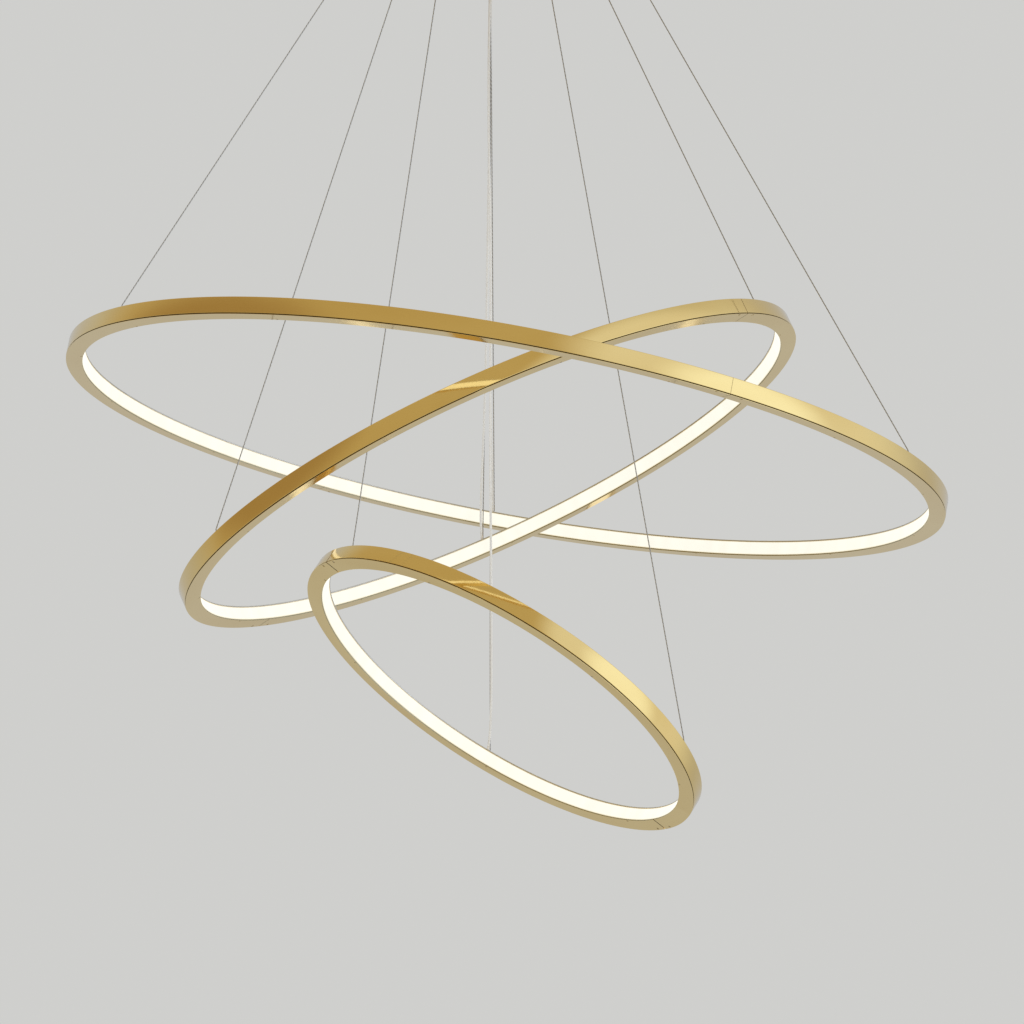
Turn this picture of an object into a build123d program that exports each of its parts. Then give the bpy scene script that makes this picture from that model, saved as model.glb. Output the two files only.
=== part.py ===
from build123d import *
import math
import os

# A ring chandelier: three thin hoops of aluminium channel, each lit on its inner face, hang one inside
# another from a round ceiling canopy. Every hoop hangs tilted on three steel wires and is fed by one cord.
# Millimetres. The origin is the centre of the canopy's ceiling face, +Z is up and -Y faces the viewer.
# A hoop is made flat, about its own axis, and is then laid into its plane by its roll and its tilt.

os.makedirs("parts", exist_ok=True)

# ---------------------------------------------------------------- hoops
RING_1_RADIUS = 400.0          # outer face
RING_2_RADIUS = 300.0
RING_3_RADIUS = 200.0
RING_1_CENTRE = (14.2, -2.4, -507.0)
RING_2_CENTRE = (0.1, 0.2, -534.3)
RING_3_CENTRE = (11.5, 2.2, -734.6)
RING_1_ROLL_ANGLE, RING_1_TILT_ANGLE = -10.3, -2.8     # roll lifts the right side, tilt the far side
RING_2_ROLL_ANGLE, RING_2_TILT_ANGLE = 24.3, -5.5
RING_3_ROLL_ANGLE, RING_3_TILT_ANGLE = -31.6, -16.5
RING_1_SEAM_ANGLE, RING_2_SEAM_ANGLE, RING_3_SEAM_ANGLE = 297.5, 326.0, 200.0   # where two halves meet
RING_1_SEAM_GAP, RING_2_SEAM_GAP, RING_3_SEAM_GAP = 0.3, 0.6, 1.4
RING_1_WIRE_ANGLE, RING_2_WIRE_ANGLE, RING_3_WIRE_ANGLE = 91.5, 93.2, 87.2      # of the far wire
RING_1_RETAINER_ANGLES = (10.0, 35.0, 60.0, 86.0, 111.0, 137.0, 163.0, 189.0, 214.5, 240.3, 267.1, 290.2,
                          316.0, 343.0)
RING_2_RETAINER_ANGLES = (23.2, 55.9, 88.6, 121.4, 156.0, 186.8, 219.5, 252.3, 285.0, 316.0, 350.5)
RING_3_RETAINER_ANGLES = (34.3, 85.7, 137.1, 188.0, 240.0, 291.4, 342.9)

SECTION_WIDTH = 15.0           # across the top flange, along the radius
SECTION_HEIGHT = 15.0          # of the outer face
CHANNEL_WALL = 1.2
EDGE_RADIUS = 0.5              # of the outer face's two edges
GROOVE_WIDTH = 0.8             # the shadow line along the foot of the outer face
GROOVE_DEPTH = 0.7
GROOVE_LIP = 0.25              # under the groove
DIFFUSER_THICKNESS = 2.2
DIFFUSER_CLEARANCE = 0.1
LED_STRIP_WIDTH = 8.0
LED_STRIP_THICKNESS = 1.0
ADHESIVE = 0.05                # between the strip and the channel's web

JOINER_SIDE = 2.0              # square keys that hold two halves together, in the channel's corners
JOINER_LENGTH = 36.0
JOINER_CLEARANCE = 0.05
JOINER_SCREW_DIAMETER = 2.4
JOINER_SCREW_OFFSET = 12.0     # from the seam, along the hoop
JOINER_SCREW_DEPTH = 0.3       # of the set screw's face under the bottom flange
RETAINER_DIAMETER = 1.8        # small screws in the bottom flange that hold the diffuser
RETAINER_EDGE = 1.5            # from the hoop's inner edge
RETAINER_DEPTH = 0.2

# ---------------------------------------------------------------- wires and cords
WIRE_DIAMETER = 1.0
WIRE_BEND_RADIUS = 5.0
WIRE_BEND_REACH = 2.2          # from a mouth to the corner of the wire's line
WIRE_IN_NOZZLE = 4.0           # hidden length of the wire in the nozzle
BALL_DIAMETER = 2.6            # crimped on the lower end of a wire
SOCKET_DIAMETER = 4.2          # the eyelet in the top flange
SOCKET_BASE_DIAMETER = 5.4
SOCKET_BASE_HEIGHT = 3.0
SOCKET_EDGE = 5.2              # from the hoop's outer face to the socket's axis
SOCKET_BORE = 1.6
BALL_POCKET = 3.0
FIT_CLEARANCE = 0.05           # between a fitting and its hole, all round

CORD_DIAMETER = 2.2
CORD_BEND_RADIUS = 12.0
CORD_BEND_REACH = 7.0
CORD_IN_GLAND = 6.0
CORD_IN_GROMMET = 2.0
GROMMET_DIAMETER = 3.6
GROMMET_BASE_DIAMETER = 4.4
GROMMET_BASE_HEIGHT = 1.6
GROMMET_EDGE = 10.2            # from the hoop's outer face to the grommet's axis
GROMMET_SIDE_STEP = 2.0        # round the hoop, from the far wire
CORD_BORE = 2.5

# The cords hang almost straight beside the far wires. Their middle points are chosen by hand.
CORD_1_POINTS = [(-1.6, 176.0, -164.0), (-0.4, 249.0, -287.0), (-1.9, 322.0, -407.0)]
CORD_2_POINTS = [(-1.0, 124.0, -172.0), (-3.4, 176.0, -300.0), (-5.6, 231.0, -430.0)]
CORD_3_POINTS = [(-2.4, 59.0, -180.0), (0.6, 90.0, -330.0), (-0.6, 122.0, -485.0), (0.9, 152.0, -630.0)]

# ---------------------------------------------------------------- canopy
CANOPY_RADIUS = 160.0
CANOPY_HEIGHT = 40.0
CANOPY_WALL = 1.2
CANOPY_CORNER = 5.0            # outer radius of its rounded edge
GRIPPER_1_SHARE, GRIPPER_1_BEARINGS = 0.8125, (90.0, 210.0, 330.0)      # shares of the canopy's radius
GRIPPER_2_SHARE, GRIPPER_2_BEARINGS = 0.58125, (90.0, 221.0, 335.0)
GRIPPER_3_SHARE, GRIPPER_3_BEARINGS = 0.328125, (90.0, 216.0, 338.0)
GRIPPER_DIAMETER = 10.0
GRIPPER_LENGTH = 12.0          # below the canopy
GRIPPER_TAPER = 3.0
GRIPPER_END_DIAMETER = 7.0
STEM_DIAMETER = 6.0
STEM_LENGTH = 11.0             # above the canopy's underside
STEM_BORE = 1.8
NOZZLE_DIAMETER = 4.0
NOZZLE_CLEARANCE = 0.05        # running, all round
NOZZLE_LENGTH = 13.0
NOZZLE_REACH = 6.0             # below the gripper's end
NOZZLE_TRAVEL = 2.0
NOZZLE_BORE = 1.6
NOZZLE_TIP = 0.6
TOP_CLEARANCE = 0.3            # left over the nozzle at the end of its travel
NUT_ACROSS_FLATS = 10.0
NUT_HEIGHT = 4.0

GLAND_STEP = 18.0              # a gland lies this much nearer the centre than the far gripper
GLAND_DIAMETER = 12.0
GLAND_END_DIAMETER = 6.0
GLAND_LENGTH = 11.0
GLAND_COLLAR = 3.0
GLAND_STEM_DIAMETER = 8.0
GLAND_STEM_LENGTH = 9.0
GLAND_NUT_ACROSS_FLATS = 12.0

PLATE_INSET = 10.0             # from the canopy's outside
PLATE_RADIUS = CANOPY_RADIUS - PLATE_INSET
PLATE_THICKNESS = 2.0
PLATE_CABLE_HOLE = 40.0
CEILING_HOLE_DIAMETER = 5.2
CEILING_HOLE_EDGE = 30.0       # from the plate's edge
CEILING_HOLE_PCD = 2 * (PLATE_RADIUS - CEILING_HOLE_EDGE)
CEILING_HOLE_BEARINGS = (90.0, 210.0, 330.0)
EAR_WIDTH = 20.0
EAR_DROP = 16.0
EAR_GAP = 0.6                  # from the canopy's wall to the ear's middle
EAR_BEARINGS = (0.0, 120.0, 240.0)
COVER_SCREW_DIAMETER = 3.3
COVER_SCREW_LENGTH = 9.0
COVER_SCREW_HEAD = 7.0
COVER_SCREW_HEAD_HEIGHT = 2.2
COVER_SCREW_DROP = 9.0         # below the ceiling
COVER_HOLE_SPARE = 0.4

DRIVER_LENGTH = 120.0
DRIVER_WIDTH = 36.0
DRIVER_HEIGHT = 20.0
DRIVER_CORNER = 4.0
DRIVER_EDGE = 20.0             # from the plate's edge
DRIVER_PLACE = PLATE_RADIUS - DRIVER_EDGE - DRIVER_WIDTH / 2
DRIVER_BEARINGS = (30.0, 150.0, 270.0)
DRIVER_FOOT_LENGTH = 9.0
DRIVER_FOOT_THICKNESS = 2.0
DRIVER_LABEL_STEP = 1.0        # the lid stands in from the case by this much
DRIVER_LID_HEIGHT = 3.0
DRIVER_SCREW_DIAMETER = 3.0
DRIVER_SCREW_HEAD = 5.6
DRIVER_SCREW_HEAD_HEIGHT = 1.8

TERMINAL_LENGTH = 33.0
TERMINAL_WIDTH = 16.0
TERMINAL_HEIGHT = 13.0
TERMINAL_PLACE = (0.0, -46.0)
TERMINAL_POLES = 3
TERMINAL_ENTRY = 3.4
TERMINAL_SHOULDER = 4.0

WIRE_SIDES = ("far", "left", "right")
WIRE_SPACING = 120.0


def save(name, *solids):
    """Write one named piece, or a group of like pieces."""
    shape = solids[0] if len(solids) == 1 else Compound(children=list(solids))
    shape.label = name
    export_step(shape, f"parts/{name}.step")


def turned(bearing, shape):
    """Turn a shape about the vertical axis."""
    return Rot(0, 0, bearing) * shape


def at_bearing(radius, bearing, height=0.0):
    """A point at a radius and a bearing from the canopy's axis."""
    a = math.radians(bearing)
    return Vector(radius * math.cos(a), radius * math.sin(a), height)


def upright(diameter, bottom, top):
    """A round bar on the local Z axis between two heights."""
    return Pos(0, 0, (bottom + top) / 2) * Cylinder(diameter / 2, top - bottom)


def tapered(lower_diameter, upper_diameter, bottom, top):
    """A cone frustum on the local Z axis between two heights."""
    return Pos(0, 0, (bottom + top) / 2) * Cone(lower_diameter / 2, upper_diameter / 2, top - bottom)


# ---------------------------------------------------------------- one hoop
HALF_HEIGHT = SECTION_HEIGHT / 2
INSIDE_HALF = HALF_HEIGHT - CHANNEL_WALL


class Ring:
    """The sizes of one hoop, and the plane that it hangs in."""

    def __init__(self, name, radius, centre, roll, tilt, seam, seam_gap, wire_angle, retainers,
                 gripper_share, gripper_bearings, cord_points):
        self.name, self.radius, self.seam, self.seam_gap = name, radius, seam, seam_gap
        self.retainer_angles = retainers
        across = Vector(math.cos(math.radians(roll)), 0, math.sin(math.radians(roll)))
        away = Vector(0, math.cos(math.radians(tilt)), math.sin(math.radians(tilt)))
        self.plane = Plane(origin=centre, x_dir=across, z_dir=across.cross(away).normalized())
        self.wire_angles = [wire_angle + i * WIRE_SPACING for i in range(3)]
        self.cord_angle = self.wire_angles[0] + math.degrees(GROMMET_SIDE_STEP / radius)
        self.gripper_radius, self.gripper_bearings = CANOPY_RADIUS * gripper_share, gripper_bearings
        self.cord_points = cord_points

    def place(self, shape):
        """Lay a flat-made shape into the hoop's plane."""
        return self.plane.location * shape

    def point(self, radius, angle, height):
        """A point on the hoop, in the chandelier's frame."""
        return self.plane.from_local_coords(at_bearing(radius, angle, height))


RINGS = [
    Ring("ring_1", RING_1_RADIUS, RING_1_CENTRE, RING_1_ROLL_ANGLE, RING_1_TILT_ANGLE, RING_1_SEAM_ANGLE,
         RING_1_SEAM_GAP, RING_1_WIRE_ANGLE, RING_1_RETAINER_ANGLES, GRIPPER_1_SHARE, GRIPPER_1_BEARINGS,
         CORD_1_POINTS),
    Ring("ring_2", RING_2_RADIUS, RING_2_CENTRE, RING_2_ROLL_ANGLE, RING_2_TILT_ANGLE, RING_2_SEAM_ANGLE,
         RING_2_SEAM_GAP, RING_2_WIRE_ANGLE, RING_2_RETAINER_ANGLES, GRIPPER_2_SHARE, GRIPPER_2_BEARINGS,
         CORD_2_POINTS),
    Ring("ring_3", RING_3_RADIUS, RING_3_CENTRE, RING_3_ROLL_ANGLE, RING_3_TILT_ANGLE, RING_3_SEAM_ANGLE,
         RING_3_SEAM_GAP, RING_3_WIRE_ANGLE, RING_3_RETAINER_ANGLES, GRIPPER_3_SHARE, GRIPPER_3_BEARINGS,
         CORD_3_POINTS),
]


def section_face(points):
    """A flat face through (radius, height) points."""
    return make_face(Polyline(*[(r, 0, z) for r, z in points], close=True)).face()


def swept_band(points, start, arc):
    """A section of (radius, height) points, swept round the hoop's axis from one angle over an arc."""
    return turned(start, revolve(section_face(points), Axis.Z, arc))


def box_section(inner, outer, low, high):
    return [(inner, low), (outer, low), (outer, high), (inner, high)]


def channel_section(ring):
    """The channel opens inwards. A groove along the foot of its outer face draws a dark line there."""
    outer, inner, web = ring.radius, ring.radius - SECTION_WIDTH, ring.radius - CHANNEL_WALL
    lip, floor = outer - GROOVE_LIP, outer - GROOVE_DEPTH
    low, high = GROOVE_LIP - HALF_HEIGHT, GROOVE_LIP + GROOVE_WIDTH - HALF_HEIGHT
    face = section_face([(lip, -HALF_HEIGHT), (lip, low), (floor, low), (floor, high), (outer, high),
                         (outer, HALF_HEIGHT), (inner, HALF_HEIGHT), (inner, INSIDE_HALF), (web, INSIDE_HALF),
                         (web, -INSIDE_HALF), (inner, -INSIDE_HALF), (inner, -HALF_HEIGHT)])
    outer_corners = [v for v in face.vertices() if v.X > lip + GROOVE_LIP / 2]
    return face.fillet_2d(EDGE_RADIUS, outer_corners)


def channel_half(ring, half):
    """Half of the hoop, with the holes for what it carries."""
    gap = math.degrees(ring.seam_gap / ring.radius)
    start = ring.seam + 180 * half + gap / 2
    channel = turned(start, revolve(channel_section(ring), Axis.Z, 180 - gap))
    holes = [(a, ring.radius - SOCKET_EDGE, SOCKET_DIAMETER) for a in ring.wire_angles]
    holes.append((ring.cord_angle, ring.radius - GROMMET_EDGE, GROMMET_DIAMETER))
    for angle, radius, diameter in holes:
        if (angle - start) % 360 < 180:
            drill = upright(diameter + 2 * FIT_CLEARANCE, INSIDE_HALF - 1, HALF_HEIGHT + 1)
            channel -= Pos(at_bearing(radius, angle)) * drill
    holes = [(a, joiner_radius(ring), JOINER_SCREW_DIAMETER) for a in joiner_screw_angles(ring)]
    holes += [(a, retainer_radius(ring), RETAINER_DIAMETER) for a in ring.retainer_angles]
    for angle, radius, diameter in holes:
        if (angle - start) % 360 < 180:
            drill = upright(diameter + 2 * FIT_CLEARANCE, -HALF_HEIGHT - 1, 1 - INSIDE_HALF)
            channel -= Pos(at_bearing(radius, angle)) * drill
    return ring.place(channel)


def retainer_radius(ring):
    """The circle of the small screws, near the hoop's inner edge."""
    return ring.radius - SECTION_WIDTH + RETAINER_EDGE


def retaining_screws(ring):
    """Small slotted screws, whose ends bear on the diffuser's lower edge."""
    low = -HALF_HEIGHT + RETAINER_DEPTH
    screw = upright(RETAINER_DIAMETER, low, DIFFUSER_CLEARANCE - INSIDE_HALF)
    slot = Pos(0, 0, low) * Box(RETAINER_DIAMETER * 0.7, RETAINER_DIAMETER / 5, CHANNEL_WALL / 2)
    return [ring.place(Pos(at_bearing(retainer_radius(ring), a)) * (screw - slot))
            for a in ring.retainer_angles]


def joiner_radius(ring):
    """The middle line of the joiner keys."""
    return ring.radius - CHANNEL_WALL - JOINER_CLEARANCE - JOINER_SIDE / 2


def joiner_screw_angles(ring):
    """One set screw each side of each seam."""
    step = math.degrees(JOINER_SCREW_OFFSET / ring.radius)
    return [ring.seam + 180 * seam + side * step for seam in (0, 1) for side in (-1, 1)]


def joiner_keys(ring):
    """Two square keys at each seam, in the channel's upper and lower corners."""
    middle = joiner_radius(ring)
    high = INSIDE_HALF - JOINER_CLEARANCE
    arc = math.degrees(JOINER_LENGTH / ring.radius)
    keys = []
    for seam in (0, 1):
        start = ring.seam + 180 * seam - arc / 2
        for low in (high - JOINER_SIDE, -high):
            section = box_section(middle - JOINER_SIDE / 2, middle + JOINER_SIDE / 2, low, low + JOINER_SIDE)
            keys.append(ring.place(swept_band(section, start, arc)))
    return keys


def joiner_screws(ring):
    """Set screws in the bottom flange that press on the lower keys."""
    low = -HALF_HEIGHT + JOINER_SCREW_DEPTH
    screw = upright(JOINER_SCREW_DIAMETER, low, -INSIDE_HALF)
    slot = Pos(0, 0, low) * Box(JOINER_SCREW_DIAMETER * 0.7, JOINER_SCREW_DIAMETER / 5, CHANNEL_WALL / 2)
    return [ring.place(Pos(at_bearing(joiner_radius(ring), a)) * (screw - slot))
            for a in joiner_screw_angles(ring)]


def led_strip(ring):
    """The flexible light strip on the inside of the channel's web."""
    outer = ring.radius - CHANNEL_WALL - ADHESIVE
    section = box_section(outer - LED_STRIP_THICKNESS, outer, -LED_STRIP_WIDTH / 2, LED_STRIP_WIDTH / 2)
    return ring.place(swept_band(section, 0, 360))


def diffuser(ring):
    """The milky band between the two flanges, flush with their edges."""
    inner = ring.radius - SECTION_WIDTH
    high = INSIDE_HALF - DIFFUSER_CLEARANCE
    return ring.place(swept_band(box_section(inner, inner + DIFFUSER_THICKNESS, -high, high), 0, 360))


def wire_sockets(ring):
    """Eyelets in the top flange. The base of each one bears on the flange from inside."""
    base_low = INSIDE_HALF - SOCKET_BASE_HEIGHT
    socket = upright(SOCKET_DIAMETER, INSIDE_HALF, HALF_HEIGHT)
    socket += upright(SOCKET_BASE_DIAMETER, base_low, INSIDE_HALF)
    socket -= upright(SOCKET_BORE, base_low - 1, HALF_HEIGHT + 1)
    socket -= upright(BALL_POCKET, base_low - 1, ball_height() + BALL_DIAMETER / 2 + FIT_CLEARANCE)
    edge = ring.radius - SOCKET_EDGE
    return [ring.place(Pos(at_bearing(edge, a)) * socket) for a in ring.wire_angles]


def ball_height():
    """Height of a wire's ball in the hoop's own frame."""
    return INSIDE_HALF - SOCKET_BASE_HEIGHT + BALL_DIAMETER / 2


def cord_grommet(ring):
    """The sleeve that leads the cord through the top flange."""
    base_low = INSIDE_HALF - GROMMET_BASE_HEIGHT
    sleeve = upright(GROMMET_DIAMETER, INSIDE_HALF, HALF_HEIGHT)
    sleeve += upright(GROMMET_BASE_DIAMETER, base_low, INSIDE_HALF)
    sleeve -= upright(CORD_BORE, base_low - 1, HALF_HEIGHT + 1)
    return ring.place(Pos(at_bearing(ring.radius - GROMMET_EDGE, ring.cord_angle)) * sleeve)


# ---------------------------------------------------------------- wires and cords
CANOPY_UNDERSIDE = -CANOPY_HEIGHT
GRIPPER_END = CANOPY_UNDERSIDE - GRIPPER_LENGTH
NOZZLE_MOUTH = GRIPPER_END - NOZZLE_REACH
GLAND_MOUTH = CANOPY_UNDERSIDE - GLAND_LENGTH


def round_line(points, diameter, radii):
    """A round wire or cord along straight runs that are joined by tangent arcs."""
    path = FilletPolyline(*points, radius=radii)
    section = Plane(origin=path @ 0, z_dir=path % 0) * Circle(diameter / 2)
    return sweep(section, path=path), path.length


def corner_radii(points, first, last):
    """The bend at each corner: as large as its two runs allow, and set at both ends."""
    radii = []
    for before, corner, after in zip(points, points[1:], points[2:]):
        run = min((corner - before).length, (after - corner).length)
        turn = math.radians((corner - before).get_angle(after - corner))
        radii.append(0.45 * run / math.tan(turn / 2))
    radii[0], radii[-1] = first, last
    return radii


def wire_points(ring, side):
    """From inside the nozzle to the ball under the hoop's top flange."""
    angle, edge = ring.wire_angles[side], ring.radius - SOCKET_EDGE
    top = at_bearing(ring.gripper_radius, ring.gripper_bearings[side], NOZZLE_MOUTH)
    return [
        top + Vector(0, 0, WIRE_IN_NOZZLE),
        top - Vector(0, 0, WIRE_BEND_REACH),
        ring.point(edge, angle, HALF_HEIGHT + WIRE_BEND_REACH),
        ring.point(edge, angle, ball_height()),
    ]


def suspension_wire(ring, side):
    """A steel wire, with the ball that is crimped on its lower end."""
    points = wire_points(ring, side)
    wire, length = round_line(points, WIRE_DIAMETER, [WIRE_BEND_RADIUS, WIRE_BEND_RADIUS])
    area = math.pi * WIRE_DIAMETER ** 2 / 4
    print(f"{ring.name} {WIRE_SIDES[side]} wire: {length:.1f} mm,",
          f"volume share {wire.volume / area / length:.4f}")
    return wire + Pos(points[-1]) * Sphere(BALL_DIAMETER / 2)


def gland_place(ring):
    return at_bearing(ring.gripper_radius - GLAND_STEP, ring.gripper_bearings[0])


def power_cord(ring):
    """The round cord from its gland to the hoop, beside the far wire."""
    top = gland_place(ring) + Vector(0, 0, GLAND_MOUTH)
    edge = ring.radius - GROMMET_EDGE
    points = [top + Vector(0, 0, CORD_IN_GLAND), top - Vector(0, 0, CORD_BEND_REACH)]
    points += [Vector(*p) for p in ring.cord_points]
    points += [ring.point(edge, ring.cord_angle, HALF_HEIGHT + CORD_BEND_REACH),
               ring.point(edge, ring.cord_angle, HALF_HEIGHT - CORD_IN_GROMMET)]
    radii = corner_radii(points, CORD_BEND_RADIUS, CORD_BEND_RADIUS)
    cord, length = round_line(points, CORD_DIAMETER, radii)
    area = math.pi * CORD_DIAMETER ** 2 / 4
    print(f"{ring.name} cord: {length:.1f} mm, radii {[round(r) for r in radii]},",
          f"volume share {cord.volume / area / length:.4f}")
    for p in points:
        print(f"    ({p.X:.1f}, {p.Y:.1f}, {p.Z:.1f})")
    return cord


# ---------------------------------------------------------------- canopy
def gripper_places():
    return [at_bearing(ring.gripper_radius, b) for ring in RINGS for b in ring.gripper_bearings]


def canopy_cover():
    """A spun pan with a rounded edge, open at the ceiling."""
    floor = Pos(0, 0, CANOPY_UNDERSIDE / 2) * Cylinder(CANOPY_RADIUS, CANOPY_HEIGHT)
    floor = fillet(floor.edges().group_by(Axis.Z)[0], CANOPY_CORNER)
    hollow = Cylinder(CANOPY_RADIUS - CANOPY_WALL, CANOPY_HEIGHT - CANOPY_WALL)
    hollow = Pos(0, 0, (CANOPY_UNDERSIDE + CANOPY_WALL) / 2) * hollow
    hollow = fillet(hollow.edges().group_by(Axis.Z)[0], CANOPY_CORNER - CANOPY_WALL)
    cover = floor - hollow
    for place in gripper_places():
        cover -= Pos(place) * upright(STEM_DIAMETER + 2 * FIT_CLEARANCE, CANOPY_UNDERSIDE - 1,
                                      CANOPY_UNDERSIDE + CANOPY_WALL + 1)
    for ring in RINGS:
        cover -= Pos(gland_place(ring)) * upright(GLAND_STEM_DIAMETER + 2 * FIT_CLEARANCE,
                                                  CANOPY_UNDERSIDE - 1, CANOPY_UNDERSIDE + CANOPY_WALL + 1)
    for bearing in EAR_BEARINGS:
        hole = upright(COVER_SCREW_DIAMETER + COVER_HOLE_SPARE, CANOPY_RADIUS - 4, CANOPY_RADIUS + 1)
        cover -= turned(bearing, Pos(0, 0, -COVER_SCREW_DROP) * (Rot(0, 90, 0) * hole))
    return cover


def mounting_plate():
    """The steel plate that is screwed to the ceiling. Its three ears take the cover's screws."""
    plate = upright(2 * PLATE_RADIUS, -PLATE_THICKNESS, 0)
    plate -= upright(PLATE_CABLE_HOLE, -PLATE_THICKNESS - 1, 1)
    for bearing in CEILING_HOLE_BEARINGS:
        place = at_bearing(CEILING_HOLE_PCD / 2, bearing)
        plate -= Pos(place) * upright(CEILING_HOLE_DIAMETER, -PLATE_THICKNESS - 1, 1)
    outside = CANOPY_RADIUS - CANOPY_WALL - EAR_GAP
    for bearing in EAR_BEARINGS:
        reach = outside - PLATE_RADIUS + 4
        tongue = Pos(outside - reach / 2, 0, -PLATE_THICKNESS / 2) * Box(reach, EAR_WIDTH, PLATE_THICKNESS)
        ear = Pos(outside - PLATE_THICKNESS / 2, 0, -EAR_DROP / 2) * Box(PLATE_THICKNESS, EAR_WIDTH, EAR_DROP)
        plate += turned(bearing, tongue + ear)
        hole = upright(COVER_SCREW_DIAMETER + 2 * FIT_CLEARANCE, outside - 2 * PLATE_THICKNESS, outside + 1)
        plate -= turned(bearing, Pos(0, 0, -COVER_SCREW_DROP) * (Rot(0, 90, 0) * hole))
    return plate


def cover_screw():
    """A slotted screw with a low domed head, along the local Z axis, its head's seat at the canopy's wall."""
    top = CANOPY_RADIUS + COVER_SCREW_HEAD_HEIGHT
    screw = upright(COVER_SCREW_DIAMETER, CANOPY_RADIUS - COVER_SCREW_LENGTH, CANOPY_RADIUS)
    head = upright(COVER_SCREW_HEAD, CANOPY_RADIUS, top)
    head = chamfer(head.edges().group_by(Axis.Z)[-1], COVER_SCREW_HEAD_HEIGHT / 3)
    head -= Pos(0, 0, top) * Box(COVER_SCREW_HEAD, COVER_SCREW_HEAD / 7, COVER_SCREW_HEAD_HEIGHT * 0.8)
    return screw + head


def cover_screws():
    lying = Pos(0, 0, -COVER_SCREW_DROP) * (Rot(0, 90, 0) * cover_screw())
    return [turned(bearing, lying) for bearing in EAR_BEARINGS]


def gripper_body():
    """The round body of a cable gripper: stem up through the canopy, a tapered end, the nozzle's bore."""
    body = upright(STEM_DIAMETER, CANOPY_UNDERSIDE, CANOPY_UNDERSIDE + STEM_LENGTH)
    body += upright(GRIPPER_DIAMETER, GRIPPER_END + GRIPPER_TAPER, CANOPY_UNDERSIDE)
    body += tapered(GRIPPER_END_DIAMETER, GRIPPER_DIAMETER, GRIPPER_END, GRIPPER_END + GRIPPER_TAPER)
    nozzle_top = NOZZLE_MOUTH + NOZZLE_LENGTH
    body -= upright(NOZZLE_DIAMETER + 2 * NOZZLE_CLEARANCE, GRIPPER_END - 1,
                    nozzle_top + NOZZLE_TRAVEL + TOP_CLEARANCE)
    return body - upright(STEM_BORE, GRIPPER_END, CANOPY_UNDERSIDE + STEM_LENGTH + 1)


def gripper_nozzle():
    """The sprung nozzle: pushed up into the gripper, it lets the wire go."""
    nozzle = upright(NOZZLE_DIAMETER, NOZZLE_MOUTH, NOZZLE_MOUTH + NOZZLE_LENGTH)
    nozzle = chamfer(nozzle.edges().group_by(Axis.Z)[0], NOZZLE_TIP)
    return nozzle - upright(NOZZLE_BORE, NOZZLE_MOUTH - 1, NOZZLE_MOUTH + NOZZLE_LENGTH + 1)


def hex_nut(across_flats, bore, height):
    """A plain nut that stands on the canopy's floor."""
    seat = CANOPY_UNDERSIDE + CANOPY_WALL
    nut = extrude(RegularPolygon(across_flats / 2, 6, major_radius=False), height)
    return Pos(0, 0, seat) * nut - upright(bore + 2 * FIT_CLEARANCE, seat - 1, seat + height + 1)


def cord_gland():
    """A strain relief: collar against the canopy, tapered nose, threaded stem inside."""
    collar_low = CANOPY_UNDERSIDE - GLAND_COLLAR
    gland = upright(GLAND_STEM_DIAMETER, CANOPY_UNDERSIDE, CANOPY_UNDERSIDE + GLAND_STEM_LENGTH)
    gland += upright(GLAND_DIAMETER, collar_low, CANOPY_UNDERSIDE)
    gland += tapered(GLAND_END_DIAMETER, GLAND_DIAMETER - 1, GLAND_MOUTH, collar_low)
    return gland - upright(CORD_BORE, GLAND_MOUTH - 1, CANOPY_UNDERSIDE + GLAND_STEM_LENGTH + 1)


def driver_case():
    """A constant-current supply: a rounded case with a stepped lid and a foot at each end."""
    top = -PLATE_THICKNESS
    case = Pos(0, 0, top - DRIVER_HEIGHT / 2) * Box(DRIVER_WIDTH, DRIVER_LENGTH, DRIVER_HEIGHT)
    case = fillet(case.edges().filter_by(Axis.Z), DRIVER_CORNER)
    lid = Box(DRIVER_WIDTH - 2 * DRIVER_LABEL_STEP, DRIVER_LENGTH - 2 * DRIVER_LABEL_STEP, DRIVER_LID_HEIGHT)
    lid = fillet(lid.edges().filter_by(Axis.Z), DRIVER_CORNER - DRIVER_LABEL_STEP)
    case += Pos(0, 0, top - DRIVER_HEIGHT - DRIVER_LID_HEIGHT / 2) * lid
    for end in (-1, 1):
        foot = Box(DRIVER_WIDTH / 2, DRIVER_FOOT_LENGTH, DRIVER_FOOT_THICKNESS)
        case += Pos(0, end * driver_foot_middle(), top - DRIVER_FOOT_THICKNESS / 2) * foot
        hole = upright(DRIVER_SCREW_DIAMETER + 2 * FIT_CLEARANCE, top - DRIVER_FOOT_THICKNESS - 1, top + 1)
        case -= Pos(0, end * driver_foot_middle(), 0) * hole
    return Pos(DRIVER_PLACE, 0, 0) * case


def driver_foot_middle():
    return DRIVER_LENGTH / 2 + DRIVER_FOOT_LENGTH / 2


def driver_screws():
    """Pan-head screws through the drivers' feet into the plate's underside."""
    seat = -PLATE_THICKNESS - DRIVER_FOOT_THICKNESS
    screw = upright(DRIVER_SCREW_DIAMETER, seat, -PLATE_THICKNESS)
    head = upright(DRIVER_SCREW_HEAD, seat - DRIVER_SCREW_HEAD_HEIGHT, seat)
    screw += chamfer(head.edges().group_by(Axis.Z)[0], DRIVER_SCREW_HEAD_HEIGHT / 3)
    return [turned(b, Pos(DRIVER_PLACE, end * driver_foot_middle(), 0) * screw)
            for b in DRIVER_BEARINGS for end in (-1, 1)]


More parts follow.
